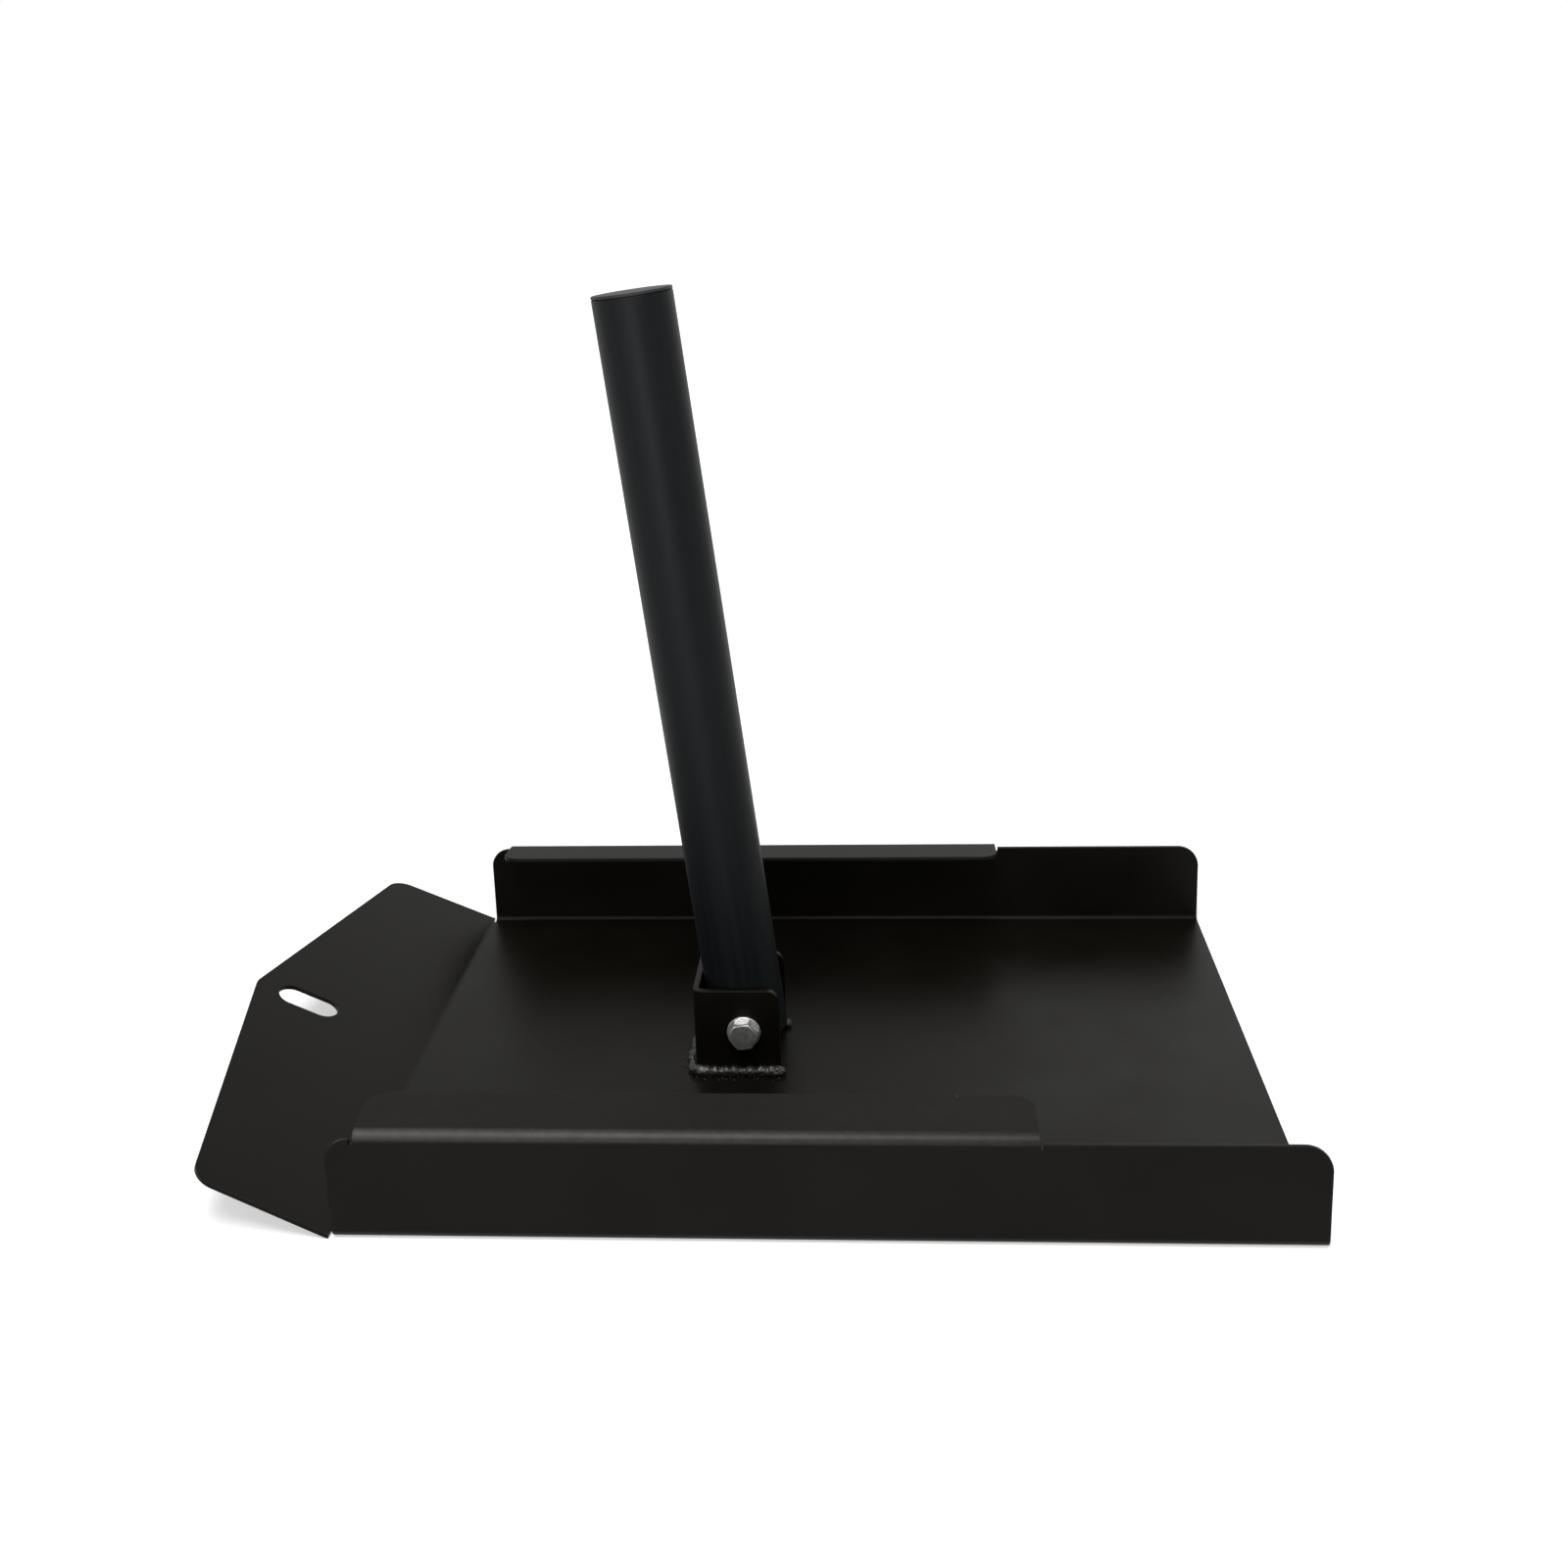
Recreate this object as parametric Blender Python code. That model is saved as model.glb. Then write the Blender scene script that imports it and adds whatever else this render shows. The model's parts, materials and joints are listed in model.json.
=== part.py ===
"""Pull sled for strength training: a bent steel sheet with a plate post that folds to the rear.

Metres. +X points forward to the nose, +Y to the left, +Z up. The origin is on the floor
below the middle of the whole sled.
"""
import math

import bmesh
import bpy
from mathutils import Matrix, Vector

# Gap that pieces keep where they touch
SEAT_GAP = 0.0003

# Sheet of the sled, cut flat and then bent into pan, side walls, lips and nose
SHEET_T = 0.003
SHEET_BEND_INSIDE = 0.003
PAN_LENGTH = 0.530
SLED_WIDTH = 0.400
WALL_HEIGHT = 0.060
WALL_REAR_CORNER = 0.015
WALL_FRONT_FLAT = 0.001
RELIEF_WIDTH = 0.002

# Lips, turned inward along the front part of each side wall
LIP_BEND_BELOW_TOP = 0.002
LIP_ANGLE = math.radians(84)
LIP_FLAT = 0.032
LIP_START = 0.016
LIP_LENGTH = 0.364
LIP_CORNER = 0.012

# Nose flap, lengths taken along the flat sheet from the nose bend
NOSE_ANGLE = math.radians(24.5)
NOSE_BEND_INSIDE = 0.010
NOSE_SIDE = 0.083
NOSE_REACH = 0.121
NOSE_TAPER = 0.003
NOSE_CORNER = 0.015
SLOT_LENGTH = 0.040
SLOT_WIDTH = 0.020
SLOT_FROM_TIP = 0.016

# Post tube, its cap and the way that it hangs on its bolt
TUBE_DIAMETER = 0.0483
TUBE_WALL = 0.003
TUBE_LENGTH = 0.470
BOLT_FROM_TUBE_END = 0.012
BOLT_FROM_PAN_END = 0.3195
SWING_CLEARANCE_PAN = 0.002
SWING_CLEARANCE_WEB = 0.0007
CAP_FLANGE = 0.0018
CAP_EDGE_ROUNDING = 0.0008
CAP_PLUG_DEPTH = 0.018
CAP_WALL = 0.002
CAP_FINS = 3
CAP_FIN_REACH = 0.0012
CAP_FIN_TIP = 0.0008
CAP_FIN_ROOT = 0.0024

# U-shaped post bracket, web to the front and open to the rear
BRACKET_T = 0.004
BRACKET_HEIGHT = 0.056
BRACKET_BEND_INSIDE = 0.002
EAR_CLEARANCE = 0.001
EAR_BEHIND_BOLT = 0.0225
EAR_CORNER = 0.008

# Weld beads round the foot of the bracket, thinner where they start and stop
WELD_LEG = 0.0055
WELD_RIPPLE = 0.10
WELD_PITCH = 0.004
WELD_BULGE = 0.55
WELD_END_SHARE = 0.55
WELD_END_LENGTH = 0.0025

# M10 pivot bolt with its washers, and the lock nut with its nylon ring
BOLT_DIAMETER = 0.010
BOLT_HOLE_PLAY = 0.0003
BOLT_PAST_NUT = 0.0065
BOLT_TIP_CHAMFER = 0.00125
HEAD_RIM = 0.003
HEAD_HEIGHT = 0.0064
WASHER_RIM = 0.0055
WASHER_T = 0.002
WASHER_CHAMFER = 0.0004
NUT_WALL = 0.0035
NUT_HEIGHT = 0.010
NUT_HEX_HEIGHT = 0.0072
NUT_COLLAR_STEP = 0.0006
NUT_COLLAR_WALL = 0.0011
NUT_LIP_T = 0.0008
NUT_LIP_REACH = 0.0006
INSERT_T = 0.0013

# Hexagons: how far they are turned, and the cone that cuts their corners
HEX_TURN = math.radians(-22)
CROWN_FACE_STEP = 0.00025
CROWN_SLOPE = math.radians(30)
CROWN_MARGIN = 0.001

# Fineness of round shapes
BEND_STEPS = 6
NOSE_BEND_STEPS = 4
CORNER_STEP = math.radians(12)
ARC_STEPS = 3
WELD_ARC_STEPS = 5
WELD_STEPS_PER_RIPPLE = 4
TUBE_SIDES = 64
CAP_SIDES = 48
SMALL_SIDES = 32
SMOOTH_ANGLE = math.radians(30)
WELD_SMOOTH_ANGLE = math.radians(50)

# Points this close are one point, and a cut this close to a point goes through it
MERGE_DISTANCE = 1e-6
CUT_DISTANCE = 1e-7

# Sizes that follow from the ones above
SHEET_NEUTRAL = SHEET_BEND_INSIDE + SHEET_T / 2
SHEET_BEND_OUTSIDE = SHEET_BEND_INSIDE + SHEET_T
NOSE_NEUTRAL = NOSE_BEND_INSIDE + SHEET_T / 2
PAN_FLAT_HALF = SLED_WIDTH / 2 - SHEET_BEND_OUTSIDE
WALL_FLAT_START = PAN_FLAT_HALF + SHEET_NEUTRAL * math.pi / 2
WALL_TOP_RUN = WALL_FLAT_START + WALL_HEIGHT - SHEET_BEND_OUTSIDE
LIP_BEND_START = WALL_TOP_RUN - LIP_BEND_BELOW_TOP
LIP_EDGE_RUN = LIP_BEND_START + SHEET_NEUTRAL * LIP_ANGLE + LIP_FLAT
LIP_END = LIP_START + LIP_LENGTH
WALL_FRONT_CORNER = LIP_START - RELIEF_WIDTH - WALL_FRONT_FLAT

NOSE_POINT_SLOPE = math.atan2(NOSE_REACH - NOSE_SIDE, SLED_WIDTH / 2 - NOSE_TAPER)
NOSE_TIP_RUN = NOSE_REACH - NOSE_CORNER * (1 / math.cos(NOSE_POINT_SLOPE) - 1)
NOSE_FORWARD = (
    (NOSE_NEUTRAL + SHEET_T / 2) * math.sin(NOSE_ANGLE)
    + (NOSE_TIP_RUN - NOSE_NEUTRAL * NOSE_ANGLE) * math.cos(NOSE_ANGLE)
)
TOTAL_LENGTH = PAN_LENGTH + NOSE_FORWARD
REAR_X = -TOTAL_LENGTH / 2
NOSE_BEND_X = REAR_X + PAN_LENGTH

TUBE_R = TUBE_DIAMETER / 2
TUBE_BORE_R = TUBE_R - TUBE_WALL
SWING_R = math.hypot(TUBE_R, BOLT_FROM_TUBE_END)
BOLT_X = REAR_X + BOLT_FROM_PAN_END
BOLT_Z = SHEET_T + SWING_R + SWING_CLEARANCE_PAN
BOLT_HOLE_R = BOLT_DIAMETER / 2 + BOLT_HOLE_PLAY

WEB_INSIDE = SWING_R + SWING_CLEARANCE_WEB
WEB_OUTSIDE = WEB_INSIDE + BRACKET_T
BRACKET_FOOT_Z = SHEET_T + SEAT_GAP
BRACKET_TOP_Z = SHEET_T + BRACKET_HEIGHT
BRACKET_NEUTRAL = BRACKET_BEND_INSIDE + BRACKET_T / 2
BRACKET_BEND_OUTSIDE = BRACKET_BEND_INSIDE + BRACKET_T
EAR_INSIDE = TUBE_R + EAR_CLEARANCE
EAR_OUTSIDE = EAR_INSIDE + BRACKET_T

WASHER_SEAT = EAR_OUTSIDE + SEAT_GAP
HEAD_SEAT = WASHER_SEAT + WASHER_T + SEAT_GAP
BOLT_LENGTH = 2 * HEAD_SEAT + NUT_HEIGHT + BOLT_PAST_NUT
HEAD_FLATS = BOLT_DIAMETER + 2 * HEAD_RIM
NUT_FLATS = BOLT_DIAMETER + 2 * NUT_WALL
COLLAR_R = NUT_FLATS / 2 - NUT_COLLAR_STEP
RECESS_R = COLLAR_R - NUT_COLLAR_WALL
INSERT_TOP = NUT_HEIGHT - NUT_LIP_T - SEAT_GAP
INSERT_FLOOR = INSERT_TOP - INSERT_T

# The post leans forward until it rests on the top inner edge of the web
STOP_HEIGHT = BRACKET_TOP_Z - BOLT_Z
STOP_REACH = math.hypot(WEB_INSIDE, STOP_HEIGHT)
POST_LEAN = math.acos((TUBE_R + SEAT_GAP) / STOP_REACH) - math.atan2(STOP_HEIGHT, WEB_INSIDE)


def clear_scene():
    for leftover in list(bpy.data.objects):
        bpy.data.objects.remove(leftover, do_unlink=True)


def make_material(name, colour, roughness, metallic):
    material = bpy.data.materials.new(name)
    material.use_nodes = True
    shader = material.node_tree.nodes["Principled BSDF"]
    shader.inputs["Base Color"].default_value = (*colour, 1.0)
    shader.inputs["Roughness"].default_value = roughness
    shader.inputs["Metallic"].default_value = metallic
    return material


def add_piece(name, bm, material, parent=None, smooth_angle=None):
    """Turn a bmesh into a named object, and shade its round faces smooth where asked."""
    bmesh.ops.recalc_face_normals(bm, faces=bm.faces)
    mesh = bpy.data.meshes.new(name)
    bm.to_mesh(mesh)
    bm.free()
    if smooth_angle is not None:
        mesh.shade_smooth()
        mesh.set_sharp_from_angle(angle=smooth_angle)
    piece = bpy.data.objects.new(name, mesh)
    bpy.context.scene.collection.objects.link(piece)
    if material is not None:
        mesh.materials.append(material)
    piece.parent = parent
    return piece


def as_tool(piece):
    """Keep an object for cutting or joining only."""
    piece.hide_render = True
    piece.display_type = "WIRE"
    return piece


def boolean(piece, tool, operation):
    modifier = piece.modifiers.new(tool.name, "BOOLEAN")
    modifier.operation = operation
    modifier.solver = "EXACT"
    modifier.object = tool


def rounded_outline(corners):
    """Replace each (x, y, radius) corner of a closed outline by an arc of that radius."""
    points = []
    for index, (x, y, radius) in enumerate(corners):
        here = Vector((x, y))
        if radius == 0:
            points.append(here)
            continue
        before = (Vector(corners[index - 1][:2]) - here).normalized()
        after = (Vector(corners[(index + 1) % len(corners)][:2]) - here).normalized()
        half = before.angle(after) / 2
        centre = here + (before + after).normalized() * radius / math.sin(half)
        spoke = here + before * radius / math.tan(half) - centre
        turn = math.pi - 2 * half
        if before.x * after.y - before.y * after.x > 0:
            turn = -turn
        steps = max(2, round(abs(turn) / CORNER_STEP))
        for step in range(steps + 1):
            angle = turn * step / steps
            points.append(centre + Matrix.Rotation(angle, 2) @ spoke)
    return points


def fold(run, depth, bends):
    """Follow a strip of sheet through its bends.

    run is the distance along the middle of the strip, depth the height above that middle
    on the inner side of the bends, and each bend is (start run, middle radius, angle).
    Returns the point as (along, up).
    """
    along, up, heading, walked = 0.0, 0.0, 0.0, 0.0
    for start, radius, angle in bends:
        if run <= start:
            break
        along += (start - walked) * math.cos(heading)
        up += (start - walked) * math.sin(heading)
        turned = min(angle, (run - start) / radius)
        along += radius * (math.sin(heading + turned) - math.sin(heading))
        up += radius * (math.cos(heading) - math.cos(heading + turned))
        heading += turned
        walked = start + radius * turned
    along += (run - walked) * math.cos(heading) - depth * math.sin(heading)
    up += (run - walked) * math.sin(heading) + depth * math.cos(heading)
    return along, up


def sheet_blank(points, thickness):
    """Make a flat plate of an outline, its middle on z = 0."""
    bm = bmesh.new()
    rim = [bm.verts.new((point.x, point.y, -thickness / 2)) for point in points]
    bm.faces.new(rim)
    bmesh.ops.remove_doubles(bm, verts=bm.verts, dist=MERGE_DISTANCE)
    grown = bmesh.ops.extrude_face_region(bm, geom=bm.faces[:])
    raised = [item for item in grown["geom"] if isinstance(item, bmesh.types.BMVert)]
    bmesh.ops.translate(bm, verts=raised, vec=(0, 0, thickness))
    return bm


def score(bm, axis, positions, rear_of=math.inf):
    """Cut the faces along lines square to an axis, so that the plate can bend there.

    Faces that lie ahead of rear_of stay whole.
    """
    normal = Vector((0, 0, 0))
    normal[axis] = 1
    for position in positions:
        faces = [face for face in bm.faces if face.calc_center_median().x < rear_of]
        edges = {edge for face in faces for edge in face.edges}
        verts = {vert for face in faces for vert in face.verts}
        bmesh.ops.bisect_plane(
            bm, geom=list(verts) + list(edges) + faces, dist=CUT_DISTANCE,
            plane_co=normal * position, plane_no=normal,
        )


def bend_lines(start, radius, angle, steps):
    return [start + radius * angle * step / steps for step in range(steps + 1)]


def in_lip(forward):
    """Tell whether a place along the sled lies between the two ends of the lips."""
    margin = RELIEF_WIDTH / 2
    return -LIP_END - margin < forward < -LIP_START + margin


def bent_sheet_point(forward, across, depth):
    """Carry a point of the flat blank to its place on the bent sheet, nose bend at x = 0."""
    if forward > MERGE_DISTANCE:
        x, z = fold(forward, depth, [(0, NOSE_NEUTRAL, NOSE_ANGLE)])
        return Vector((x, across, z + SHEET_T / 2))
    bends = [(PAN_FLAT_HALF, SHEET_NEUTRAL, math.pi / 2)]
    if in_lip(forward):
        bends.append((LIP_BEND_START, SHEET_NEUTRAL, LIP_ANGLE))
    y, z = fold(abs(across), depth, bends)
    return Vector((forward, math.copysign(y, across), z + SHEET_T / 2))


def sheet_half_outline():
    """Corners of the blank's left half, from the rear to the nose tip."""
    relief_run = LIP_BEND_START - RELIEF_WIDTH / 2
    nose_relief_run = PAN_FLAT_HALF - RELIEF_WIDTH / 2
    half_width = SLED_WIDTH / 2
    return [
        (-PAN_LENGTH, WALL_TOP_RUN, WALL_REAR_CORNER),
        (-LIP_END - RELIEF_WIDTH, WALL_TOP_RUN, 0),
        (-LIP_END - RELIEF_WIDTH, relief_run, 0),
        (-LIP_END, relief_run, 0),
        (-LIP_END, LIP_EDGE_RUN, LIP_CORNER),
        (-LIP_START, LIP_EDGE_RUN, LIP_CORNER),
        (-LIP_START, relief_run, 0),
        (-LIP_START + RELIEF_WIDTH, relief_run, 0),
        (-LIP_START + RELIEF_WIDTH, WALL_TOP_RUN, 0),
        (0, WALL_TOP_RUN, WALL_FRONT_CORNER),
        (0, nose_relief_run, 0),
        (RELIEF_WIDTH, nose_relief_run, 0),
        (RELIEF_WIDTH, half_width, 0),
        (NOSE_SIDE, half_width - NOSE_TAPER, NOSE_CORNER),
    ]


def make_sled_plate(material):
    left = sheet_half_outline()
    tip = (NOSE_REACH, 0, NOSE_CORNER)
    right = [(x, -y, radius) for x, y, radius in reversed(left)]
    bm = sheet_blank(rounded_outline(left + [tip] + right), SHEET_T)
    walls = bend_lines(PAN_FLAT_HALF, SHEET_NEUTRAL, math.pi / 2, BEND_STEPS)
    lips = bend_lines(LIP_BEND_START, SHEET_NEUTRAL, LIP_ANGLE, BEND_STEPS)
    score(bm, 0, bend_lines(0, NOSE_NEUTRAL, NOSE_ANGLE, NOSE_BEND_STEPS))
    for run in walls + lips:
        score(bm, 1, [run, -run], rear_of=0)
    for vert in bm.verts:
        vert.co = bent_sheet_point(*vert.co)
        vert.co.x += NOSE_BEND_X
    return add_piece("sled_plate", bm, material, smooth_angle=SMOOTH_ANGLE)


def make_slot_tool():
    """Round-ended bar through the nose flap, placed as the flap is bent."""
    radius = SLOT_WIDTH / 2
    centre = NOSE_REACH - SLOT_FROM_TIP - SLOT_LENGTH / 2
    near, far = centre - SLOT_LENGTH / 2, centre + SLOT_LENGTH / 2
    corners = [
        (near, -radius, radius),
        (far, -radius, radius),
        (far, radius, radius),
        (near, radius, radius),
    ]
    bm = sheet_blank(rounded_outline(corners), SHEET_T * 3)
    for vert in bm.verts:
        vert.co = bent_sheet_point(*vert.co)
        vert.co.x += NOSE_BEND_X
    return as_tool(add_piece("slot_tool", bm, None))


def make_bracket(material):
    """Bend the bracket's blank round its two upright bends, then stand it on the pan."""
    web_flat_half = EAR_OUTSIDE - BRACKET_BEND_OUTSIDE
    ear_flat = WEB_OUTSIDE - BRACKET_BEND_OUTSIDE + EAR_BEHIND_BOLT
    ear_end = web_flat_half + BRACKET_NEUTRAL * math.pi / 2 + ear_flat
    height = BRACKET_TOP_Z - BRACKET_FOOT_Z
    corners = [
        (-ear_end, 0, 0),
        (ear_end, 0, 0),
        (ear_end, height, EAR_CORNER),
        (-ear_end, height, EAR_CORNER),
    ]
    bm = sheet_blank(rounded_outline(corners), BRACKET_T)
    bends = [(web_flat_half, BRACKET_NEUTRAL, math.pi / 2)]
    for run in bend_lines(*bends[0], BEND_STEPS):
        score(bm, 0, [run, -run])
    middle_x = BOLT_X + WEB_INSIDE + BRACKET_T / 2
    for vert in bm.verts:
        y, back = fold(abs(vert.co.x), vert.co.z, bends)
        side = math.copysign(y, vert.co.x)
        vert.co = Vector((middle_x - back, side, BRACKET_FOOT_Z + vert.co.y))
    return add_piece("post_bracket", bm, material, smooth_angle=SMOOTH_ANGLE)


def turned(profile, sides, ring=False):
    """Spin a (radius, height) profile about the Z axis.

    The profile runs from the rim of one flat end face to the rim of the other. For a ring
    it closes on itself instead.
    """
    bm = bmesh.new()
    points = [bm.verts.new((radius, 0, height)) for radius, height in profile]
    edges = [bm.edges.new(pair) for pair in zip(points, points[1:])]
    if ring:
        edges.append(bm.edges.new((points[-1], points[0])))
    bmesh.ops.spin(
        bm, geom=points + edges, axis=(0, 0, 1), cent=(0, 0, 0), angle=math.tau,
        steps=sides, use_merge=True,
    )
    bmesh.ops.remove_doubles(bm, verts=bm.verts, dist=MERGE_DISTANCE)
    if not ring:
        bmesh.ops.holes_fill(bm, edges=bm.edges)
    return bm


def lay_along_y(bm, y, side=1):
    """Turn a piece made about +Z to point along +Y, or -Y with side -1, on the bolt's axis."""
    turn = Matrix.Rotation(-side * math.pi / 2, 4, "X")
    bmesh.ops.transform(bm, matrix=turn, verts=bm.verts)
    bmesh.ops.translate(bm, verts=bm.verts, vec=(BOLT_X, y, BOLT_Z))
    return bm


def hex_bar(flats, height):
    """Hexagonal stock, longer at both ends than the head or nut that is cut from it."""
    bm = bmesh.new()
    bmesh.ops.create_cone(
        bm, cap_ends=True, segments=6, depth=height * 2,
        radius1=flats / math.sqrt(3), radius2=flats / math.sqrt(3),
    )
    stand = Matrix.Translation((0, 0, height / 2)) @ Matrix.Rotation(HEX_TURN, 4, "Z")
    bmesh.ops.transform(bm, matrix=stand, verts=bm.verts)
    return bm


def crown(flats, height, both_ends):
    """Turned shape that a head or nut shares with its hexagonal stock."""
    face_r = flats / 2 - CROWN_FACE_STEP
    wide = flats / math.sqrt(3) + CROWN_MARGIN
    drop = (wide - face_r) * math.tan(CROWN_SLOPE)
    profile = [(face_r, height), (wide, height - drop)]
    if both_ends:
        profile += [(wide, drop), (face_r, 0)]
    else:
        profile += [(wide, 0)]
    return turned(profile, SMALL_SIDES)


def make_post_tube(material, pivot):
    """Plain tube, turned so that flat sides and not edges face the bracket's ears."""
    bottom = -BOLT_FROM_TUBE_END
    top = bottom + TUBE_LENGTH
    profile = [(TUBE_BORE_R, bottom), (TUBE_R, bottom), (TUBE_R, top), (TUBE_BORE_R, top)]
    bm = turned(profile, TUBE_SIDES, ring=True)
    half_side = Matrix.Rotation(math.pi / TUBE_SIDES, 4, "Z")
    bmesh.ops.transform(bm, matrix=half_side, verts=bm.verts)
    return add_piece("post_tube", bm, material, pivot, SMOOTH_ANGLE)


def quarter_arc(radius, centre_r, centre_z):
    """Points of a rounded outer edge, from its flat end face round to its side."""
    points = []
    for step in range(ARC_STEPS + 1):
        angle = math.pi / 2 * (1 - step / ARC_STEPS)
        across = centre_r + radius * math.cos(angle)
        points.append((across, centre_z + radius * math.sin(angle)))
    return points


def make_post_cap(material, pivot):
    """Plastic insert: a flange on the tube's end, and a hollow plug with round fins."""
    seat = TUBE_LENGTH - BOLT_FROM_TUBE_END + SEAT_GAP
    top = seat + CAP_FLANGE
    fin_r = TUBE_BORE_R - SEAT_GAP
    plug_r = fin_r - CAP_FIN_REACH
    bottom = seat - CAP_PLUG_DEPTH
    rounding = CAP_EDGE_ROUNDING
    profile = quarter_arc(rounding, TUBE_R - rounding, top - rounding)
    profile += [(TUBE_R, seat), (plug_r, seat)]
    for fin in range(1, CAP_FINS + 1):
        height = seat - CAP_PLUG_DEPTH * fin / (CAP_FINS + 1)
        profile += [
            (plug_r, height + CAP_FIN_ROOT / 2),
            (fin_r, height + CAP_FIN_TIP / 2),
            (fin_r, height - CAP_FIN_TIP / 2),
            (plug_r, height - CAP_FIN_ROOT / 2),
        ]
    profile += [(plug_r, bottom), (plug_r - CAP_WALL, bottom), (plug_r - CAP_WALL, seat)]
    return add_piece("post_cap", turned(profile, CAP_SIDES), material, pivot, SMOOTH_ANGLE)


def make_bolt(material):
    """Hex bolt with its head on the left and its shank running to the right."""
    shank_r = BOLT_DIAMETER / 2
    shank = turned(
        [
            (shank_r, HEAD_HEIGHT / 2),
            (shank_r, BOLT_TIP_CHAMFER - BOLT_LENGTH),
            (shank_r - BOLT_TIP_CHAMFER, -BOLT_LENGTH),
        ],
        SMALL_SIDES,
    )
    shank_tool = as_tool(add_piece("shank_tool", lay_along_y(shank, HEAD_SEAT), None))
    crown_bm = lay_along_y(crown(HEAD_FLATS, HEAD_HEIGHT, False), HEAD_SEAT)
    crown_tool = as_tool(add_piece("head_crown_tool", crown_bm, None))
    head = lay_along_y(hex_bar(HEAD_FLATS, HEAD_HEIGHT), HEAD_SEAT)
    bolt = add_piece("pivot_bolt", head, material, smooth_angle=SMOOTH_ANGLE)
    boolean(bolt, crown_tool, "INTERSECT")
    boolean(bolt, shank_tool, "UNION")


def make_washer(name, material, side):
    """Flat washer on an ear's outer face, left with side 1 or right with side -1."""
    rim = BOLT_DIAMETER / 2 + WASHER_RIM
    profile = [
        (BOLT_HOLE_R, 0),
        (rim, 0),
        (rim, WASHER_T - WASHER_CHAMFER),
        (rim - WASHER_CHAMFER, WASHER_T),
        (BOLT_HOLE_R, WASHER_T),
    ]
    bm = lay_along_y(turned(profile, SMALL_SIDES, ring=True), side * WASHER_SEAT, side)
    add_piece(name, bm, material, smooth_angle=SMOOTH_ANGLE)


def make_lock_nut(material):
    """Hexagon with a round collar that is rolled in over the nylon ring."""
    past = NUT_HEIGHT / 2
    lip_r = RECESS_R - NUT_LIP_REACH
    recess_floor = INSERT_FLOOR - SEAT_GAP
    rolled = quarter_arc(NUT_COLLAR_WALL, RECESS_R, NUT_HEIGHT - NUT_COLLAR_WALL)
    bore = [
        (lip_r, NUT_HEIGHT + past),
        (lip_r, NUT_HEIGHT - NUT_LIP_T / 2),
        (RECESS_R, NUT_HEIGHT - NUT_LIP_T),
        (RECESS_R, recess_floor),
        (BOLT_HOLE_R, recess_floor),
        (BOLT_HOLE_R, -past),
    ]
    steps = [
        ("nut_crown_tool", "INTERSECT", crown(NUT_FLATS, NUT_HEX_HEIGHT, True)),
        ("nut_collar_tool", "UNION", turned([*rolled, (COLLAR_R, past)], SMALL_SIDES)),
        ("nut_bore_tool", "DIFFERENCE", turned(bore, SMALL_SIDES)),
    ]
    body = lay_along_y(hex_bar(NUT_FLATS, NUT_HEX_HEIGHT), -HEAD_SEAT, -1)
    nut = add_piece("lock_nut", body, material, smooth_angle=SMOOTH_ANGLE)
    for name, operation, shape in steps:
        tool = as_tool(add_piece(name, lay_along_y(shape, -HEAD_SEAT, -1), None))
        boolean(nut, tool, operation)


def make_nut_insert(material):
    outer = RECESS_R - SEAT_GAP
    profile = [
        (BOLT_HOLE_R, INSERT_FLOOR),
        (outer, INSERT_FLOOR),
        (outer, INSERT_TOP),
        (BOLT_HOLE_R, INSERT_TOP),
    ]
    bm = lay_along_y(turned(profile, SMALL_SIDES, ring=True), -HEAD_SEAT, -1)
    add_piece("nut_insert", bm, material, smooth_angle=SMOOTH_ANGLE)


def bracket_foot(start, end):
    """Points and outward directions along the bracket's outer foot line.

    start and end are distances along that line from the middle of the web, left positive.
    """
    flat = EAR_OUTSIDE - BRACKET_BEND_OUTSIDE
    bends = [(flat, BRACKET_BEND_OUTSIDE, math.pi / 2)]
    steps = max(2, round(abs(end - start) / WELD_PITCH * WELD_STEPS_PER_RIPPLE))
    path = []
    for step in range(steps + 1):
        run = start + (end - start) * step / steps
        y, back = fold(abs(run), 0, bends)
        y_out, back_out = fold(abs(run), -1, bends)
        side = math.copysign(1, run)
        point = Vector((BOLT_X + WEB_OUTSIDE - back, y * side, 0))
        out = Vector((back - back_out, (y_out - y) * side, 0))
        path.append((point, out))
    return path


def make_weld(name, material, start, end):
    """Fillet bead between bracket and pan, with its ripples and tapered ends."""
    path = bracket_foot(start, end)
    step_length = abs(end - start) / (len(path) - 1)
    bm = bmesh.new()
    loops = []
    for index, (point, out) in enumerate(path):
        from_end = min(index, len(path) - 1 - index) * step_length
        growth = min(1.0, from_end / WELD_END_LENGTH)
        taper = WELD_END_SHARE + (1 - WELD_END_SHARE) * growth
        ripple = 1 + WELD_RIPPLE * math.cos(index * math.tau / WELD_STEPS_PER_RIPPLE)
        leg = WELD_LEG * ripple * taper
        corner = point + out * SEAT_GAP + Vector((0, 0, SHEET_T + SEAT_GAP))
        ring = [bm.verts.new(corner)]
        for part in range(WELD_ARC_STEPS + 1):
            angle = math.pi / 2 * part / WELD_ARC_STEPS
            flat_face = 1 / (math.cos(angle) + math.sin(angle))
            reach = leg * (WELD_BULGE + (1 - WELD_BULGE) * flat_face)
            rise = Vector((0, 0, reach * math.sin(angle)))
            ring.append(bm.verts.new(corner + out * (reach * math.cos(angle)) + rise))
        loops.append([bm.edges.new((a, b)) for a, b in zip(ring, ring[1:] + ring[:1])])
    for first, second in zip(loops, loops[1:]):
        bmesh.ops.bridge_loops(bm, edges=first + second)
    for loop in (loops[0], loops[-1]):
        bmesh.ops.edgeloop_fill(bm, edges=loop)
    add_piece(name, bm, material, smooth_angle=WELD_SMOOTH_ANGLE)


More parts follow.
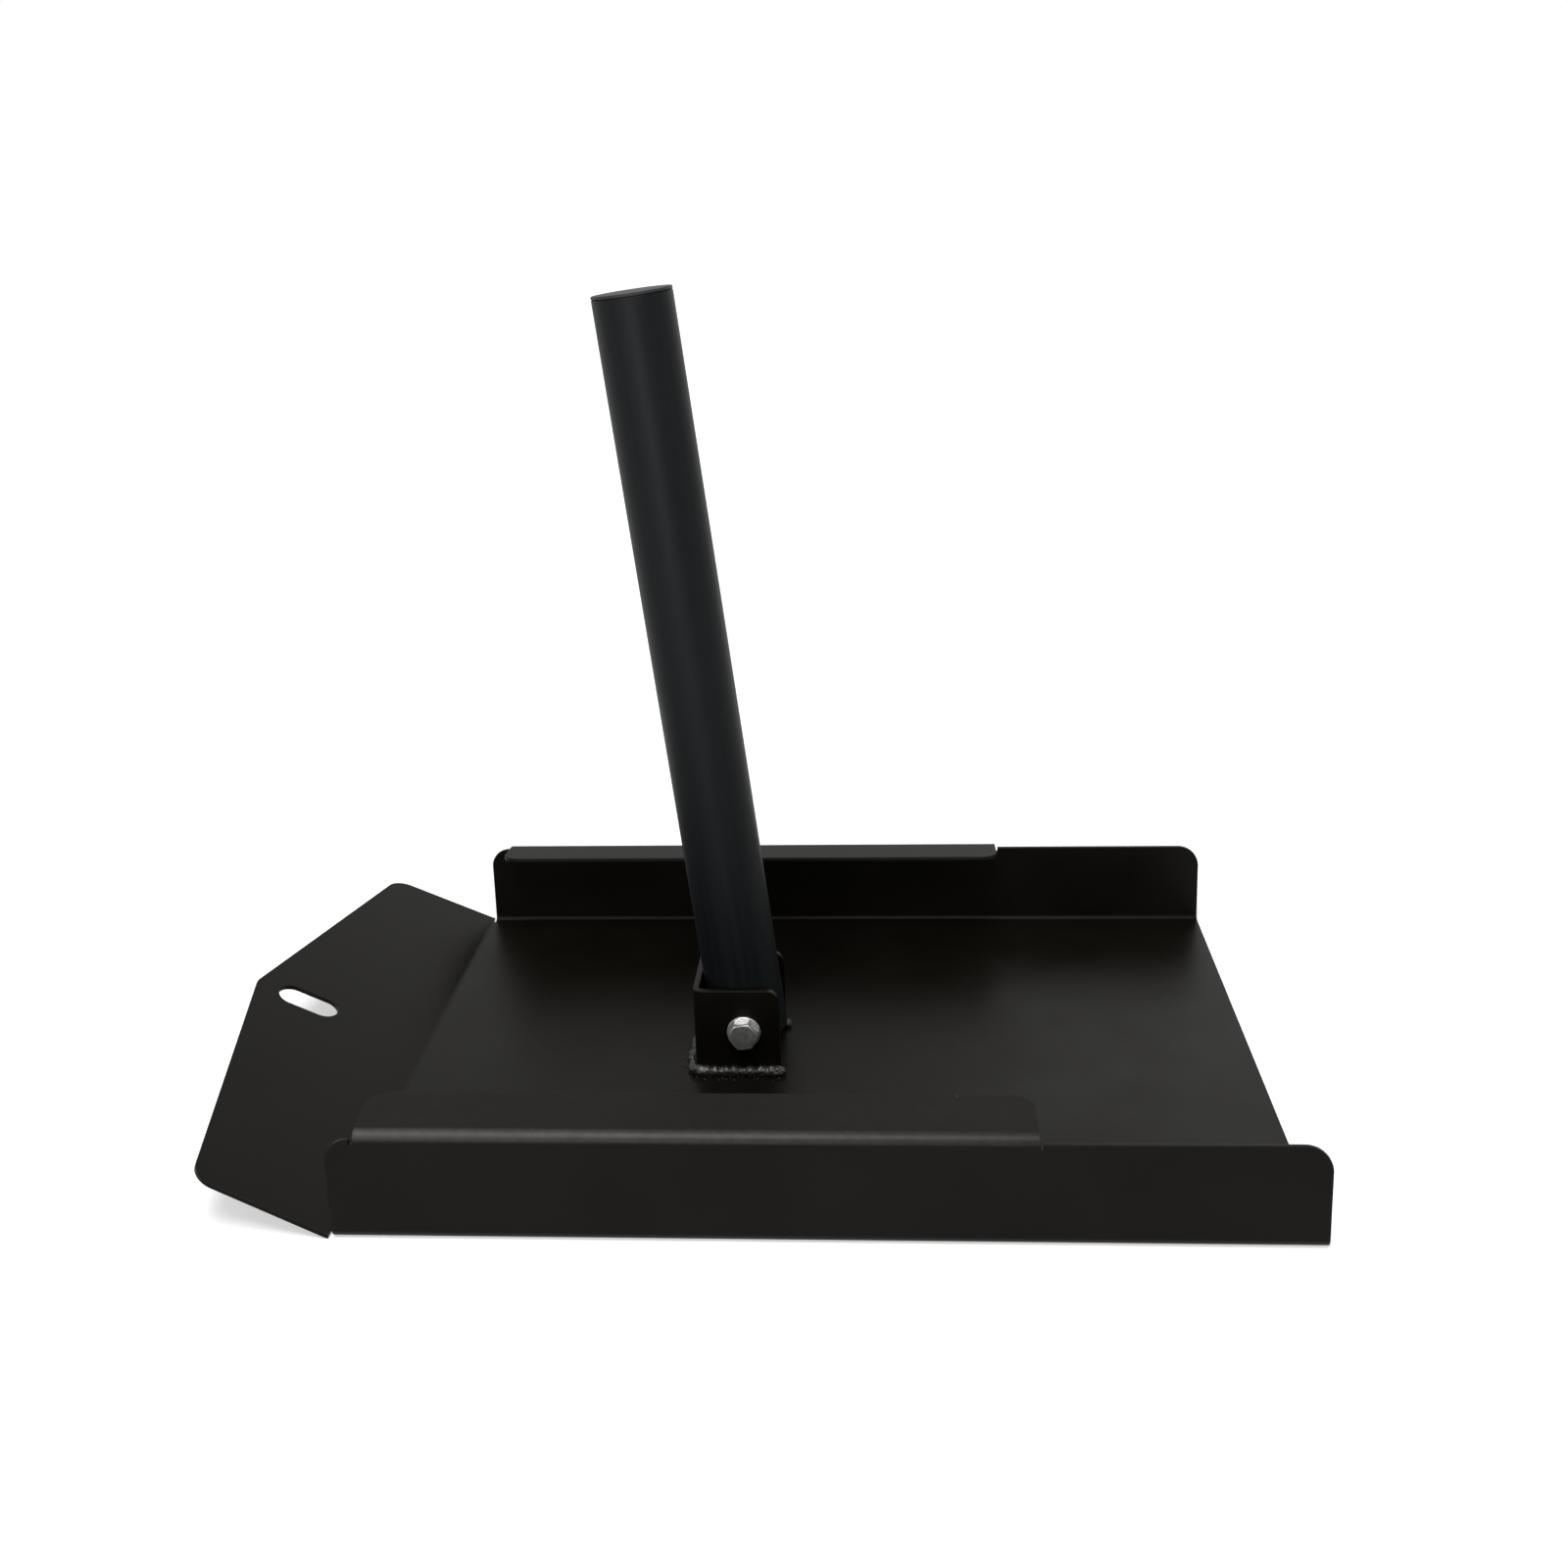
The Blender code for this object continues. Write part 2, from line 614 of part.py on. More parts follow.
def make_welds(material):
    """Left, front and right beads, which meet half way round the bracket's bends."""
    web_flat_half = EAR_OUTSIDE - BRACKET_BEND_OUTSIDE
    ear_flat = WEB_OUTSIDE - BRACKET_BEND_OUTSIDE + EAR_BEHIND_BOLT
    corner = web_flat_half + BRACKET_BEND_OUTSIDE * math.pi / 4
    end = web_flat_half + BRACKET_BEND_OUTSIDE * math.pi / 2 + ear_flat
    gap = SEAT_GAP / 2
    make_weld("weld_front", material, gap - corner, corner - gap)
    make_weld("weld_left", material, corner + gap, end)
    make_weld("weld_right", material, -corner - gap, -end)


def make_hole_tool(name, turn):
    """Round bar through both ears and the tube, turned about the bolt's axis."""
    reach = EAR_OUTSIDE + BRACKET_T
    bm = turned([(BOLT_HOLE_R, reach), (BOLT_HOLE_R, -reach)], SMALL_SIDES)
    bmesh.ops.transform(bm, matrix=Matrix.Rotation(turn, 4, "Z"), verts=bm.verts)
    return as_tool(add_piece(name, lay_along_y(bm, 0), None))


def main():
    clear_scene()
    coat = make_material("black_powder_coat", (0.014, 0.014, 0.015), 0.5, 0.0)
    tube_coat = make_material("black_tube_coat", (0.016, 0.018, 0.020), 0.42, 0.0)
    weld_coat = make_material("coated_weld", (0.03, 0.03, 0.03), 0.4, 0.0)
    plastic = make_material("black_cap_plastic", (0.02, 0.02, 0.022), 0.55, 0.0)
    zinc = make_material("zinc_plating", (0.72, 0.73, 0.75), 0.3, 1.0)
    nylon = make_material("white_nylon", (0.8, 0.8, 0.78), 0.5, 0.0)

    plate = make_sled_plate(coat)
    boolean(plate, make_slot_tool(), "DIFFERENCE")

    bracket = make_bracket(coat)
    boolean(bracket, make_hole_tool("bracket_hole_tool", 0), "DIFFERENCE")
    make_welds(weld_coat)

    pivot = bpy.data.objects.new("post_pivot", None)
    bpy.context.scene.collection.objects.link(pivot)
    pivot.location = (BOLT_X, 0, BOLT_Z)
    pivot.rotation_euler = (0, POST_LEAN, 0)
    tube = make_post_tube(tube_coat, pivot)
    tube_hole_turn = POST_LEAN + math.pi / SMALL_SIDES
    boolean(tube, make_hole_tool("tube_hole_tool", tube_hole_turn), "DIFFERENCE")
    make_post_cap(plastic, pivot)

    make_washer("head_washer", zinc, 1)
    make_bolt(zinc)
    make_washer("nut_washer", zinc, -1)
    make_lock_nut(zinc)
    make_nut_insert(nylon)


main()
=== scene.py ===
"""Looks of the pull sled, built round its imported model: fine pieces, finishes, light and camera.

Metres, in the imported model's frame: +X forward to the nose, +Y to the left, +Z up.
"""
import json
import math
import random

import bmesh
import bpy
from mathutils import Matrix, Vector, noise


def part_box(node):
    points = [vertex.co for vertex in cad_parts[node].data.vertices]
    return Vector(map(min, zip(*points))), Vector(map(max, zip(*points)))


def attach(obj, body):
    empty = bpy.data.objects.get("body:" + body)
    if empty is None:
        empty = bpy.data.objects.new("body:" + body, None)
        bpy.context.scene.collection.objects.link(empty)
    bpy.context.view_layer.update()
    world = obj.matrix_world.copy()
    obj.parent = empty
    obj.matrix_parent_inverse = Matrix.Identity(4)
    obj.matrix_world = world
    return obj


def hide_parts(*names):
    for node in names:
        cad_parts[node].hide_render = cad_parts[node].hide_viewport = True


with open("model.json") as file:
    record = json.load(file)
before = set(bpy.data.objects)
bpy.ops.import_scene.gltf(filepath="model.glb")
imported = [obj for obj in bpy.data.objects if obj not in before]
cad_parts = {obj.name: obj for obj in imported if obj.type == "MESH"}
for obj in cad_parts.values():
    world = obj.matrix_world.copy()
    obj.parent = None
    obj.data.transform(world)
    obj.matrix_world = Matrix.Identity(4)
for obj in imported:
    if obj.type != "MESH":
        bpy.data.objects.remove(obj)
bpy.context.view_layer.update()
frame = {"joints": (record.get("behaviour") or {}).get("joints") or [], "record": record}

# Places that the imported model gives
RECORD = frame["record"]
SLOT_OF = {part["node"]: part["material_slot"] for part in RECORD["subparts"]}
BODY_OF = {node: body for body, nodes in RECORD["behaviour"]["bodies"].items() for node in nodes}
BOLT_AXIS = Vector(frame["joints"][0]["pos_m"])
POST_END = next(mount for mount in RECORD["mounts"] if mount["name"] == "post_end")
POST_DIRECTION = Vector(POST_END["axis"])
POST_TOP = (Vector(POST_END["pos_m"]) - BOLT_AXIS).dot(POST_DIRECTION)
REAR_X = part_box("sled_plate")[0].x
SLED_WIDTH = 2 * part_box("sled_plate")[1].y
WEB_FRONT_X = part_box("post_bracket")[1].x
BRACKET_REAR_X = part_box("post_bracket")[0].x
BRACKET_FOOT_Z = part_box("post_bracket")[0].z
BRACKET_TOP_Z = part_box("post_bracket")[1].z
EAR_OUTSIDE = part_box("post_bracket")[1].y
HEAD_FACE_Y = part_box("pivot_bolt")[1].y
WASHER_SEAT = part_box("head_washer")[0].y
BOLT_TIP_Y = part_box("pivot_bolt")[0].y

# Bent sheet
SHEET_T = 0.003
SHEET_BEND_INSIDE = 0.003
SHEET_EDGE_ROUNDING = 0.00045
PAN_LENGTH = 0.530
WALL_HEIGHT = 0.060
WALL_REAR_CORNER = 0.015
WALL_FRONT_FLAT = 0.001
RELIEF_WIDTH = 0.002
LIP_BEND_BELOW_TOP = 0.002
LIP_ANGLE = math.radians(84)
LIP_FLAT = 0.032
LIP_START = 0.016
LIP_LENGTH = 0.364
LIP_CORNER = 0.012
NOSE_ANGLE = math.radians(24.5)
NOSE_BEND_INSIDE = 0.010
NOSE_SIDE = 0.083
NOSE_REACH = 0.121
NOSE_TAPER = 0.003
NOSE_CORNER = 0.015
SLOT_LENGTH = 0.040
SLOT_WIDTH = 0.020
SLOT_FROM_TIP = 0.016

# Bracket
BRACKET_T = 0.004
BRACKET_BEND_INSIDE = 0.002
BRACKET_EDGE_ROUNDING = 0.0005
EAR_CORNER = 0.008

# Post tube and cap
TUBE_DIAMETER = 0.0483
TUBE_WALL = 0.003
TUBE_LENGTH = 0.470
TUBE_EDGE_ROUNDING = 0.0008
CAP_FLANGE = 0.0018
CAP_EDGE_ROUNDING = 0.0008
CAP_PLUG_DEPTH = 0.018
CAP_WALL = 0.002
CAP_FINS = 3
CAP_FIN_REACH = 0.0012
CAP_FIN_TIP = 0.0008
CAP_FIN_ROOT = 0.0024
SEAT_GAP = 0.0003

# Bolt, washers and lock nut
BOLT_DIAMETER = 0.010
HOLE_R = 0.0053
HEAD_FLATS = 0.016
HEAD_HEIGHT = 0.0064
THREAD_PITCH = 0.0015
THREAD_FLANK_SHARE = 5 / 16
THREAD_CREST_SHARE = 1 / 8
THREAD_DEPTH = 0.0009
THREAD_LENGTH = 0.026
THREAD_CREST_PLAY = 0.00006
THREAD_SPARE_TURNS = 2
TIP_CHAMFER = 0.00125
WASHER_R = 0.0105
WASHER_T = 0.002
WASHER_ROUNDING = 0.0004
NUT_FLATS = 0.017
NUT_HEIGHT = 0.010
NUT_HEX_HEIGHT = 0.0072
NUT_COLLAR_STEP = 0.0006
NUT_COLLAR_WALL = 0.0011
NUT_LIP_T = 0.0008
NUT_LIP_REACH = 0.0006
INSERT_T = 0.0013
HEX_TURN = math.radians(-22)
HEX_EDGE_ROUNDING = 0.0002
CROWN_FACE_STEP = 0.00025
CROWN_SLOPE = math.radians(30)
CROWN_MARGIN = 0.001

# Painted highlight on the lips' bends, a paler and glossier coat there: its shine, how far it
# runs on past each bend, and the share by which it fades from the front to the rear. It is
# streaky, in streaks of the given size that never fall below the least share. Plates also
# scuff the lips' flats.
SHEEN_GLOSS = 0.15
SHEEN_COAT_ROUGHNESS = 0.50
SHEEN_MARGIN = 0.002
SHEEN_FADE = 0.6
SHEEN_STREAK_SIZE = 0.006
SHEEN_STREAK_CONTRAST = (0.35, 0.6)
SHEEN_STREAK_LEAST = 0.8
SCUFFED_PALER = 0.09
SCUFFED_ROUGHNESS = 0.54

# Weld beads: blobs laid one over the next along the bracket's foot, and spatter round them
BLOB_PITCH = 0.0026
BLOB_ACROSS = 0.0036
BLOB_ALONG = 0.0036
BLOB_RISE = 0.0020
BLOB_UNEVEN = 0.16
BLOB_SHIFT = 0.3
BEAD_VOXEL = 0.0003
BEAD_NOISE_SIZE = 0.0022
BEAD_NOISE_DEPTH = 0.00045
BEAD_SINK = 0.00015
BEAD_SMOOTHINGS = 2
BEAD_SMOOTHING = 0.5
SPATTER_DROPS = 36
SPATTER_NEAREST = 0.0045
SPATTER_REACH = 0.011
SPATTER_SMALLEST = 0.0002
SPATTER_LARGEST = 0.0006
SPATTER_RAISE = 0.3

# Fineness of round shapes
ARC_STEP = math.radians(5)
BEND_STEPS = 18
NOSE_BEND_STEPS = 10
ROUNDING_STEPS = 3
ROLL_STEPS = 8
THREAD_STEPS = 64
TUBE_SIDES = 160
SMALL_SIDES = 96
SHARP_RIM_ANGLE = math.radians(60)
SMOOTH_ANGLE = math.radians(40)
MERGE_DISTANCE = 1e-6

# Powder coats: colours of their dark and pale patches, of dust specks and of the painted
# highlight on the lips' bends and their scuffed flats, roughness where they are glossy and
# where they are matt, size and depth of the orange peel, and how much they mirror. The tube's
# patches are drawn out to streaks along it.
SHEET_COAT = {
    "dark": (0.0026, 0.0022, 0.0014),
    "pale": (0.0042, 0.0036, 0.0025),
    "speck": (0.05, 0.047, 0.04),
    # pale colour of the painted highlight on the lips' bends, mixed in a little on their scuffed
    # flats
    "sheen_and_scuff": (0.055, 0.054, 0.052),
    "gloss": 0.33,
    "matt": 0.42,
    "peel_size": 0.0020,
    "peel_depth": 0.00005,
    "specular": 0.07,
}
WELD_COAT = {
    "dark": (0.006, 0.0056, 0.005),
    "pale": (0.012, 0.0115, 0.010),
    "speck": (0.06, 0.06, 0.055),
    "sheen_and_scuff": (0.03, 0.03, 0.03),
    "gloss": 0.30,
    "matt": 0.45,
    "peel_size": 0.0008,
    "peel_depth": 0.00005,
    "specular": 0.45,
}
TUBE_COAT = {
    "dark": (0.0018, 0.0024, 0.0028),
    "pale": (0.0034, 0.0041, 0.0046),
    "speck": (0.05, 0.05, 0.05),
    "sheen_and_scuff": (0.03, 0.03, 0.03),
    "gloss": 0.42,
    "matt": 0.52,
    "peel_size": 0.0014,
    "peel_depth": 0.00003,
    "specular": 0.105,
    "patch_size": 0.005,
    "streak": 30,
}
COAT_PATCH_SIZE = 0.07
PATCH_CONTRAST = (0.3, 0.7)
SPECK_SPACING = 0.045
SPECK_SIZE = 0.0005

# Bright zinc: scale of its mottle, colours, roughness, and unevenness
ZINC_MOTTLE_SCALE = 450.0
ZINC_DARK = (0.50, 0.50, 0.49)
ZINC_PALE = (0.82, 0.82, 0.80)
ZINC_SMOOTH = 0.27
ZINC_ROUGH = 0.50
ZINC_BUMP_STRENGTH = 0.5
ZINC_BUMP_DEPTH = 0.00014

# Moulded plastics: the cap's and the nylon ring's colours and roughness, and their grain
CAP_BLACK = (0.010, 0.010, 0.011)
CAP_ROUGHNESS = 0.50
NYLON_WHITE = (0.72, 0.72, 0.69)
NYLON_ROUGHNESS = 0.45
GRAIN_SCALE = 1800.0
GRAIN_PALER = 1.25
GRAIN_ROUGHER = 0.12
GRAIN_STRENGTH = 0.6
GRAIN_DEPTH = 0.00003
PLASTIC_SPECULAR = 0.2

# Floor: its colour, and its glow as seen, which grows from near the sled to far from it
FLOOR_R = 30
FLOOR_GAP = 0.0002
FLOOR_SIDES = 64
FLOOR_COLOUR = (0.78, 0.78, 0.78)
GLOW_NEAR = 0.3
GLOW_FAR = 2.0
GLOW_LEAST = 0.5

# Light: the world's strength on the object, then each lamp's place, aim, width, height, watts
WORLD_STRENGTH = 0.30
LAMPS = {
    "overhead_softbox": ((0.1, 0.70, 1.55), (0, 0, 0.1), 0.9, 1.0, 26),
    "front_panel": ((0.20, 2.1, 0.42), (0, 0, 0.36), 1.2, 0.6, 15),
    "rear_panel": ((-0.65, -1.35, 0.85), (-0.2, 0.05, 0), 0.9, 0.6, 1.7),
}

# Camera, fitted to the photograph's lines
CAMERA_PLACE = (-0.099945, 0.98853, 0.55252)
CAMERA_HEADING = math.pi + 0.068
CAMERA_PITCH = 0.240
CAMERA_ROLL = -0.031
CAMERA_LENS = 38.87
CAMERA_SENSOR = 36
CAMERA_SHIFT_Y = -0.125
CAMERA_NEAR = 0.01
CAMERA_FAR = 100

# Sizes that follow from the ones above
SHEET_NEUTRAL = SHEET_BEND_INSIDE + SHEET_T / 2
SHEET_BEND_OUTSIDE = SHEET_BEND_INSIDE + SHEET_T
NOSE_NEUTRAL = NOSE_BEND_INSIDE + SHEET_T / 2
NOSE_BEND_X = REAR_X + PAN_LENGTH
PAN_FLAT_HALF = SLED_WIDTH / 2 - SHEET_BEND_OUTSIDE
WALL_FLAT_START = PAN_FLAT_HALF + SHEET_NEUTRAL * math.pi / 2
WALL_TOP_RUN = WALL_FLAT_START + WALL_HEIGHT - SHEET_BEND_OUTSIDE
LIP_BEND_START = WALL_TOP_RUN - LIP_BEND_BELOW_TOP
LIP_BEND_END = LIP_BEND_START + SHEET_NEUTRAL * LIP_ANGLE
LIP_EDGE_RUN = LIP_BEND_END + LIP_FLAT
LIP_END = LIP_START + LIP_LENGTH
WALL_FRONT_CORNER = LIP_START - RELIEF_WIDTH - WALL_FRONT_FLAT
NOSE_POINT_SLOPE = math.atan2(NOSE_REACH - NOSE_SIDE, SLED_WIDTH / 2 - NOSE_TAPER)
NOSE_TIP_RUN = NOSE_REACH - NOSE_CORNER * (1 / math.cos(NOSE_POINT_SLOPE) - 1)
NOSE_TIP_HALF = NOSE_CORNER * math.tan(NOSE_POINT_SLOPE / 2)
BRACKET_NEUTRAL = BRACKET_BEND_INSIDE + BRACKET_T / 2
BRACKET_BEND_OUTSIDE = BRACKET_BEND_INSIDE + BRACKET_T
WEB_FLAT_HALF = EAR_OUTSIDE - BRACKET_BEND_OUTSIDE
EAR_FLAT = WEB_FRONT_X - BRACKET_BEND_OUTSIDE - BRACKET_REAR_X
TUBE_R = TUBE_DIAMETER / 2
TUBE_BORE_R = TUBE_R - TUBE_WALL
COLLAR_R = NUT_FLATS / 2 - NUT_COLLAR_STEP
RECESS_R = COLLAR_R - NUT_COLLAR_WALL
NUT_SEAT = WASHER_SEAT + WASHER_T + SEAT_GAP
INSERT_TOP = NUT_HEIGHT - NUT_LIP_T - SEAT_GAP
INSERT_FLOOR = INSERT_TOP - INSERT_T


# Shaping


def plain_object(name, bm):
    """Turn a shape into an object without a finish."""
    mesh = bpy.data.meshes.new(name)
    bm.to_mesh(mesh)
    bm.free()
    piece = bpy.data.objects.new(name, mesh)
    bpy.context.scene.collection.objects.link(piece)
    return piece


def settled(piece):
    """Take the shape that an object's modifiers give, and remove the object."""
    shape = bmesh.new()
    evaluated = piece.evaluated_get(bpy.context.evaluated_depsgraph_get())
    shape.from_mesh(evaluated.to_mesh())
    evaluated.to_mesh_clear()
    bpy.data.objects.remove(piece)
    return shape


def combine(bm, tool_bm, operation):
    """Join, cut or trim one shape with another."""
    bmesh.ops.recalc_face_normals(bm, faces=bm.faces)
    bmesh.ops.recalc_face_normals(tool_bm, faces=tool_bm.faces)
    piece = plain_object("shape", bm)
    tool = plain_object("tool", tool_bm)
    modifier = piece.modifiers.new("combine", "BOOLEAN")
    modifier.operation = operation
    modifier.solver = "EXACT"
    modifier.object = tool
    result = settled(piece)
    bpy.data.objects.remove(tool)
    return result


def round_corner(bm, vert, radius):
    """Round one corner of a flat outline to the radius."""
    sides = [edge.other_vert(vert).co - vert.co for edge in vert.link_edges]
    opening = sides[0].angle(sides[1])
    steps = max(ROUNDING_STEPS, round((math.pi - opening) / ARC_STEP))
    bmesh.ops.bevel(
        bm, geom=[vert], offset=radius / math.tan(opening / 2), offset_type="OFFSET",
        segments=steps, profile=0.5, affect="VERTICES", clamp_overlap=False, material=-1,
    )


def flat_outline(corners):
    """Lay out a flat face from (x, y, radius) corners."""
    bm = bmesh.new()
    verts = [bm.verts.new((x, y, 0)) for x, y, radius in corners]
    bm.faces.new(verts)
    for vert, (x, y, radius) in zip(verts, corners):
        if radius:
            round_corner(bm, vert, radius)
    bmesh.ops.remove_doubles(bm, verts=bm.verts, dist=MERGE_DISTANCE)
    return bm


def round_edges(bm, edges, radius):
    """Round a shape's edges to the radius."""
    bmesh.ops.bevel(
        bm, geom=edges, offset=radius, offset_type="OFFSET", segments=ROUNDING_STEPS,
        profile=0.5, affect="EDGES", clamp_overlap=True, material=-1,
    )


def edge_height(edge):
    """How far an edge climbs from one end to the other."""
    return abs(edge.verts[0].co.z - edge.verts[1].co.z)


def thicken(bm, thickness, rounding, seam=False):
    """Give a flat outline its thickness, its middle on z = 0, and round its cut edges.

    With a seam the outline is one half, whose side on y = 0 stays open.
    """
    grown = bmesh.ops.extrude_face_region(bm, geom=bm.faces[:])
    raised = [item for item in grown["geom"] if isinstance(item, bmesh.types.BMVert)]
    bmesh.ops.translate(bm, verts=raised, vec=(0, 0, thickness))
    bmesh.ops.translate(bm, verts=bm.verts, vec=(0, 0, -thickness / 2))
    if seam:
        inner = [
            face for face in bm.faces
            if all(abs(vert.co.y) < MERGE_DISTANCE for vert in face.verts)
        ]
        bmesh.ops.delete(bm, geom=inner, context="FACES")
    bmesh.ops.recalc_face_normals(bm, faces=bm.faces)
    rim = [
        edge for edge in bm.edges
        if len(edge.link_faces) == 2 and edge_height(edge) < MERGE_DISTANCE
    ]
    round_edges(bm, rim, rounding)
    return bm


def score(bm, normal, positions, rear_of=math.inf):
    """Cut lines across the sheet where it will bend. Faces ahead of rear_of stay whole."""
    for position in positions:
        faces = [face for face in bm.faces if face.calc_center_median().x < rear_of]
        edges = {edge for face in faces for edge in face.edges}
        verts = {vert for face in faces for vert in face.verts}
        bmesh.ops.bisect_plane(
            bm, geom=list(verts) + list(edges) + faces, dist=MERGE_DISTANCE / 10,
            plane_co=Vector(normal) * position, plane_no=normal,
        )


def bend_lines(start, radius, angle, steps):
    """Where the lines across a bend lie, along the middle of the sheet."""
    return [start + radius * angle * step / steps for step in range(steps + 1)]


def fold(run, depth, bends):
    """Follow a strip of sheet through its (start, middle radius, angle) bends.

    run is the distance along its middle, depth the height above that middle on the inner
    side of the bends. Returns (along, up).
    """
    along, up, heading, walked = 0.0, 0.0, 0.0, 0.0
    for start, radius, angle in bends:
        if run <= start:
            break
        along += (start - walked) * math.cos(heading)
        up += (start - walked) * math.sin(heading)
        turned = min(angle, (run - start) / radius)
        along += radius * (math.sin(heading + turned) - math.sin(heading))
        up += radius * (math.cos(heading) - math.cos(heading + turned))
        heading += turned
        walked = start + radius * turned
    along += (run - walked) * math.cos(heading) - depth * math.sin(heading)
    up += (run - walked) * math.sin(heading) + depth * math.cos(heading)
    return along, up


def trim(bm, height, side):
    """Cut off what lies above a height, or below it with side -1."""
    bmesh.ops.bisect_plane(
        bm, geom=bm.verts[:] + bm.edges[:] + bm.faces[:], dist=MERGE_DISTANCE / 10,
        plane_co=(0, 0, height), plane_no=(0, 0, side), clear_outer=True,
    )


def turned(profile, sides, ring=False):
    """Spin a (radius, height) profile about the Z axis, as a flat-ended solid or as a ring."""
    bm = bmesh.new()
    points = [bm.verts.new((radius, 0, height)) for radius, height in profile]
    edges = [bm.edges.new(pair) for pair in zip(points, points[1:])]
    if ring:
        edges.append(bm.edges.new((points[-1], points[0])))
    bmesh.ops.spin(
        bm, geom=points + edges, axis=(0, 0, 1), cent=(0, 0, 0), angle=math.tau,
        steps=sides, use_merge=True,
    )
    bmesh.ops.remove_doubles(bm, verts=bm.verts, dist=MERGE_DISTANCE)
    if not ring:
        bmesh.ops.holes_fill(bm, edges=bm.edges)
    bmesh.ops.recalc_face_normals(bm, faces=bm.faces)
    return bm


def round_rims(bm, radius):
    """Round the sharp circular edges of a turned shape."""
    rims = [
        edge for edge in bm.edges
        if len(edge.link_faces) == 2 and edge.calc_face_angle() > SHARP_RIM_ANGLE
    ]
    round_edges(bm, rims, radius)
    return bm


def along_bolt(bm, y, side=1):
    """Lay a shape made about +Z along the bolt's axis, towards +Y or with side -1 towards -Y."""
    bmesh.ops.transform(bm, matrix=Matrix.Rotation(-side * math.pi / 2, 4, "X"), verts=bm.verts)
    bmesh.ops.translate(bm, verts=bm.verts, vec=(BOLT_AXIS.x, y, BOLT_AXIS.z))
    return bm


def along_post(bm):
    """Stand a shape made about +Z on the bolt's axis, leaning as the post does."""
    lean = POST_DIRECTION.to_track_quat("Z", "Y").to_matrix().to_4x4()
    bmesh.ops.transform(bm, matrix=Matrix.Translation(BOLT_AXIS) @ lean, verts=bm.verts)
    return bm


# Finishes


def node_of(tree, kind, settings=(), **values):
    """Add a node, set its own settings and the plain values of its inputs."""
    node = tree.nodes.new(kind)
    for key, value in dict(settings).items():
        setattr(node, key, value)
    for name, value in values.items():
        node.inputs[name.replace("_", " ")].default_value = value
    return node


def new_group(name, inputs, outputs):
    """Make a shader node group, and give it with its input and output nodes."""
    group = bpy.data.node_groups.new(name, "ShaderNodeTree")
    for socket_name, kind in inputs:
        group.interface.new_socket(name=socket_name, in_out="INPUT", socket_type=kind)
    for socket_name in outputs:
        group.interface.new_socket(
            name=socket_name, in_out="OUTPUT", socket_type="NodeSocketFloat"
        )
    return group, group.nodes.new("NodeGroupInput"), group.nodes.new("NodeGroupOutput")


def combined(tree, operation, first, second):
    """Combine two values, each a plain number or another node's output."""
    node = node_of(tree, "ShaderNodeMath", {"operation": operation})
    for socket, value in zip(node.inputs, (first, second)):
        if isinstance(value, bpy.types.NodeSocket):
            tree.links.new(value, socket)
        else:
            socket.default_value = value
    return node.outputs[0]


def noise_in(group, source, size_name, detail, roughness, place_name="Place"):
    """Noise inside a group, its feature size in metres read from one of the group's inputs."""
    texture = node_of(group, "ShaderNodeTexNoise", Detail=detail, Roughness=roughness)
    group.links.new(source.outputs[place_name], texture.inputs["Vector"])
    scale = combined(group, "DIVIDE", 1.0, source.outputs[size_name])
    group.links.new(scale, texture.inputs["Scale"])
    return texture


def stretched(tree, factor, low, high):
    """Widen the stretch of a factor between low and high to the whole range from 0 to 1."""
    span = node_of(tree, "ShaderNodeMapRange", From_Min=low, From_Max=high)
    tree.links.new(factor, span.inputs["Value"])
    return span.outputs["Result"]


def make_coat_group():
    """Powder coat: orange peel height, broad patches, sparse dust specks, and streaks in the
    painted highlight on the lips' bends and in the scuff on their flats.
    """
    group, source, result = new_group(
        "coat_surface",
        [("Place", "NodeSocketVector"), ("Patch Place", "NodeSocketVector"),
         ("Peel Size", "NodeSocketFloat"), ("Patch Size", "NodeSocketFloat"),
         ("Speck Spacing", "NodeSocketFloat"), ("Speck Size", "NodeSocketFloat"),
         ("Rub Size", "NodeSocketFloat")],
        ["Height", "Patches", "Specks", "Sheen Streak"],
    )
    peel = noise_in(group, source, "Peel Size", 3.0, 0.6)
    patches = noise_in(group, source, "Patch Size", 4.0, 0.55, "Patch Place")
    spread = stretched(group, patches.outputs["Fac"], *PATCH_CONTRAST)

    spacing = source.outputs["Speck Spacing"]
    cells = node_of(group, "ShaderNodeTexVoronoi")
    group.links.new(source.outputs["Place"], cells.inputs["Vector"])
    group.links.new(combined(group, "DIVIDE", 1.0, spacing), cells.inputs["Scale"])
    speck_reach = combined(group, "DIVIDE", source.outputs["Speck Size"], spacing)
    specks = combined(group, "LESS_THAN", cells.outputs["Distance"], speck_reach)

    # Streaks in the painted highlight on the lips' bends and in the scuff on their flats
    sheen_and_scuff_amount = noise_in(group, source, "Rub Size", 3.0, 0.65)
    contrast = stretched(group, sheen_and_scuff_amount.outputs["Fac"], *SHEEN_STREAK_CONTRAST)

    group.links.new(peel.outputs["Fac"], result.inputs["Height"])
    group.links.new(spread, result.inputs["Patches"])
    group.links.new(specks, result.inputs["Specks"])
    group.links.new(contrast, result.inputs["Sheen Streak"])
    return group


def blended(tree, factor, low, high):
    """Mix two colours by a factor that changes over the surface.

    The first is a plain colour or another node's output, the second a plain colour.
    """
    mix = node_of(tree, "ShaderNodeMix", {"data_type": "RGBA"})
    if isinstance(low, bpy.types.NodeSocket):
        tree.links.new(low, mix.inputs["A"])
    else:
        mix.inputs["A"].default_value = (*low, 1)
    mix.inputs["B"].default_value = (*high, 1)
    tree.links.new(factor, mix.inputs["Factor"])
    return mix.outputs["Result"]


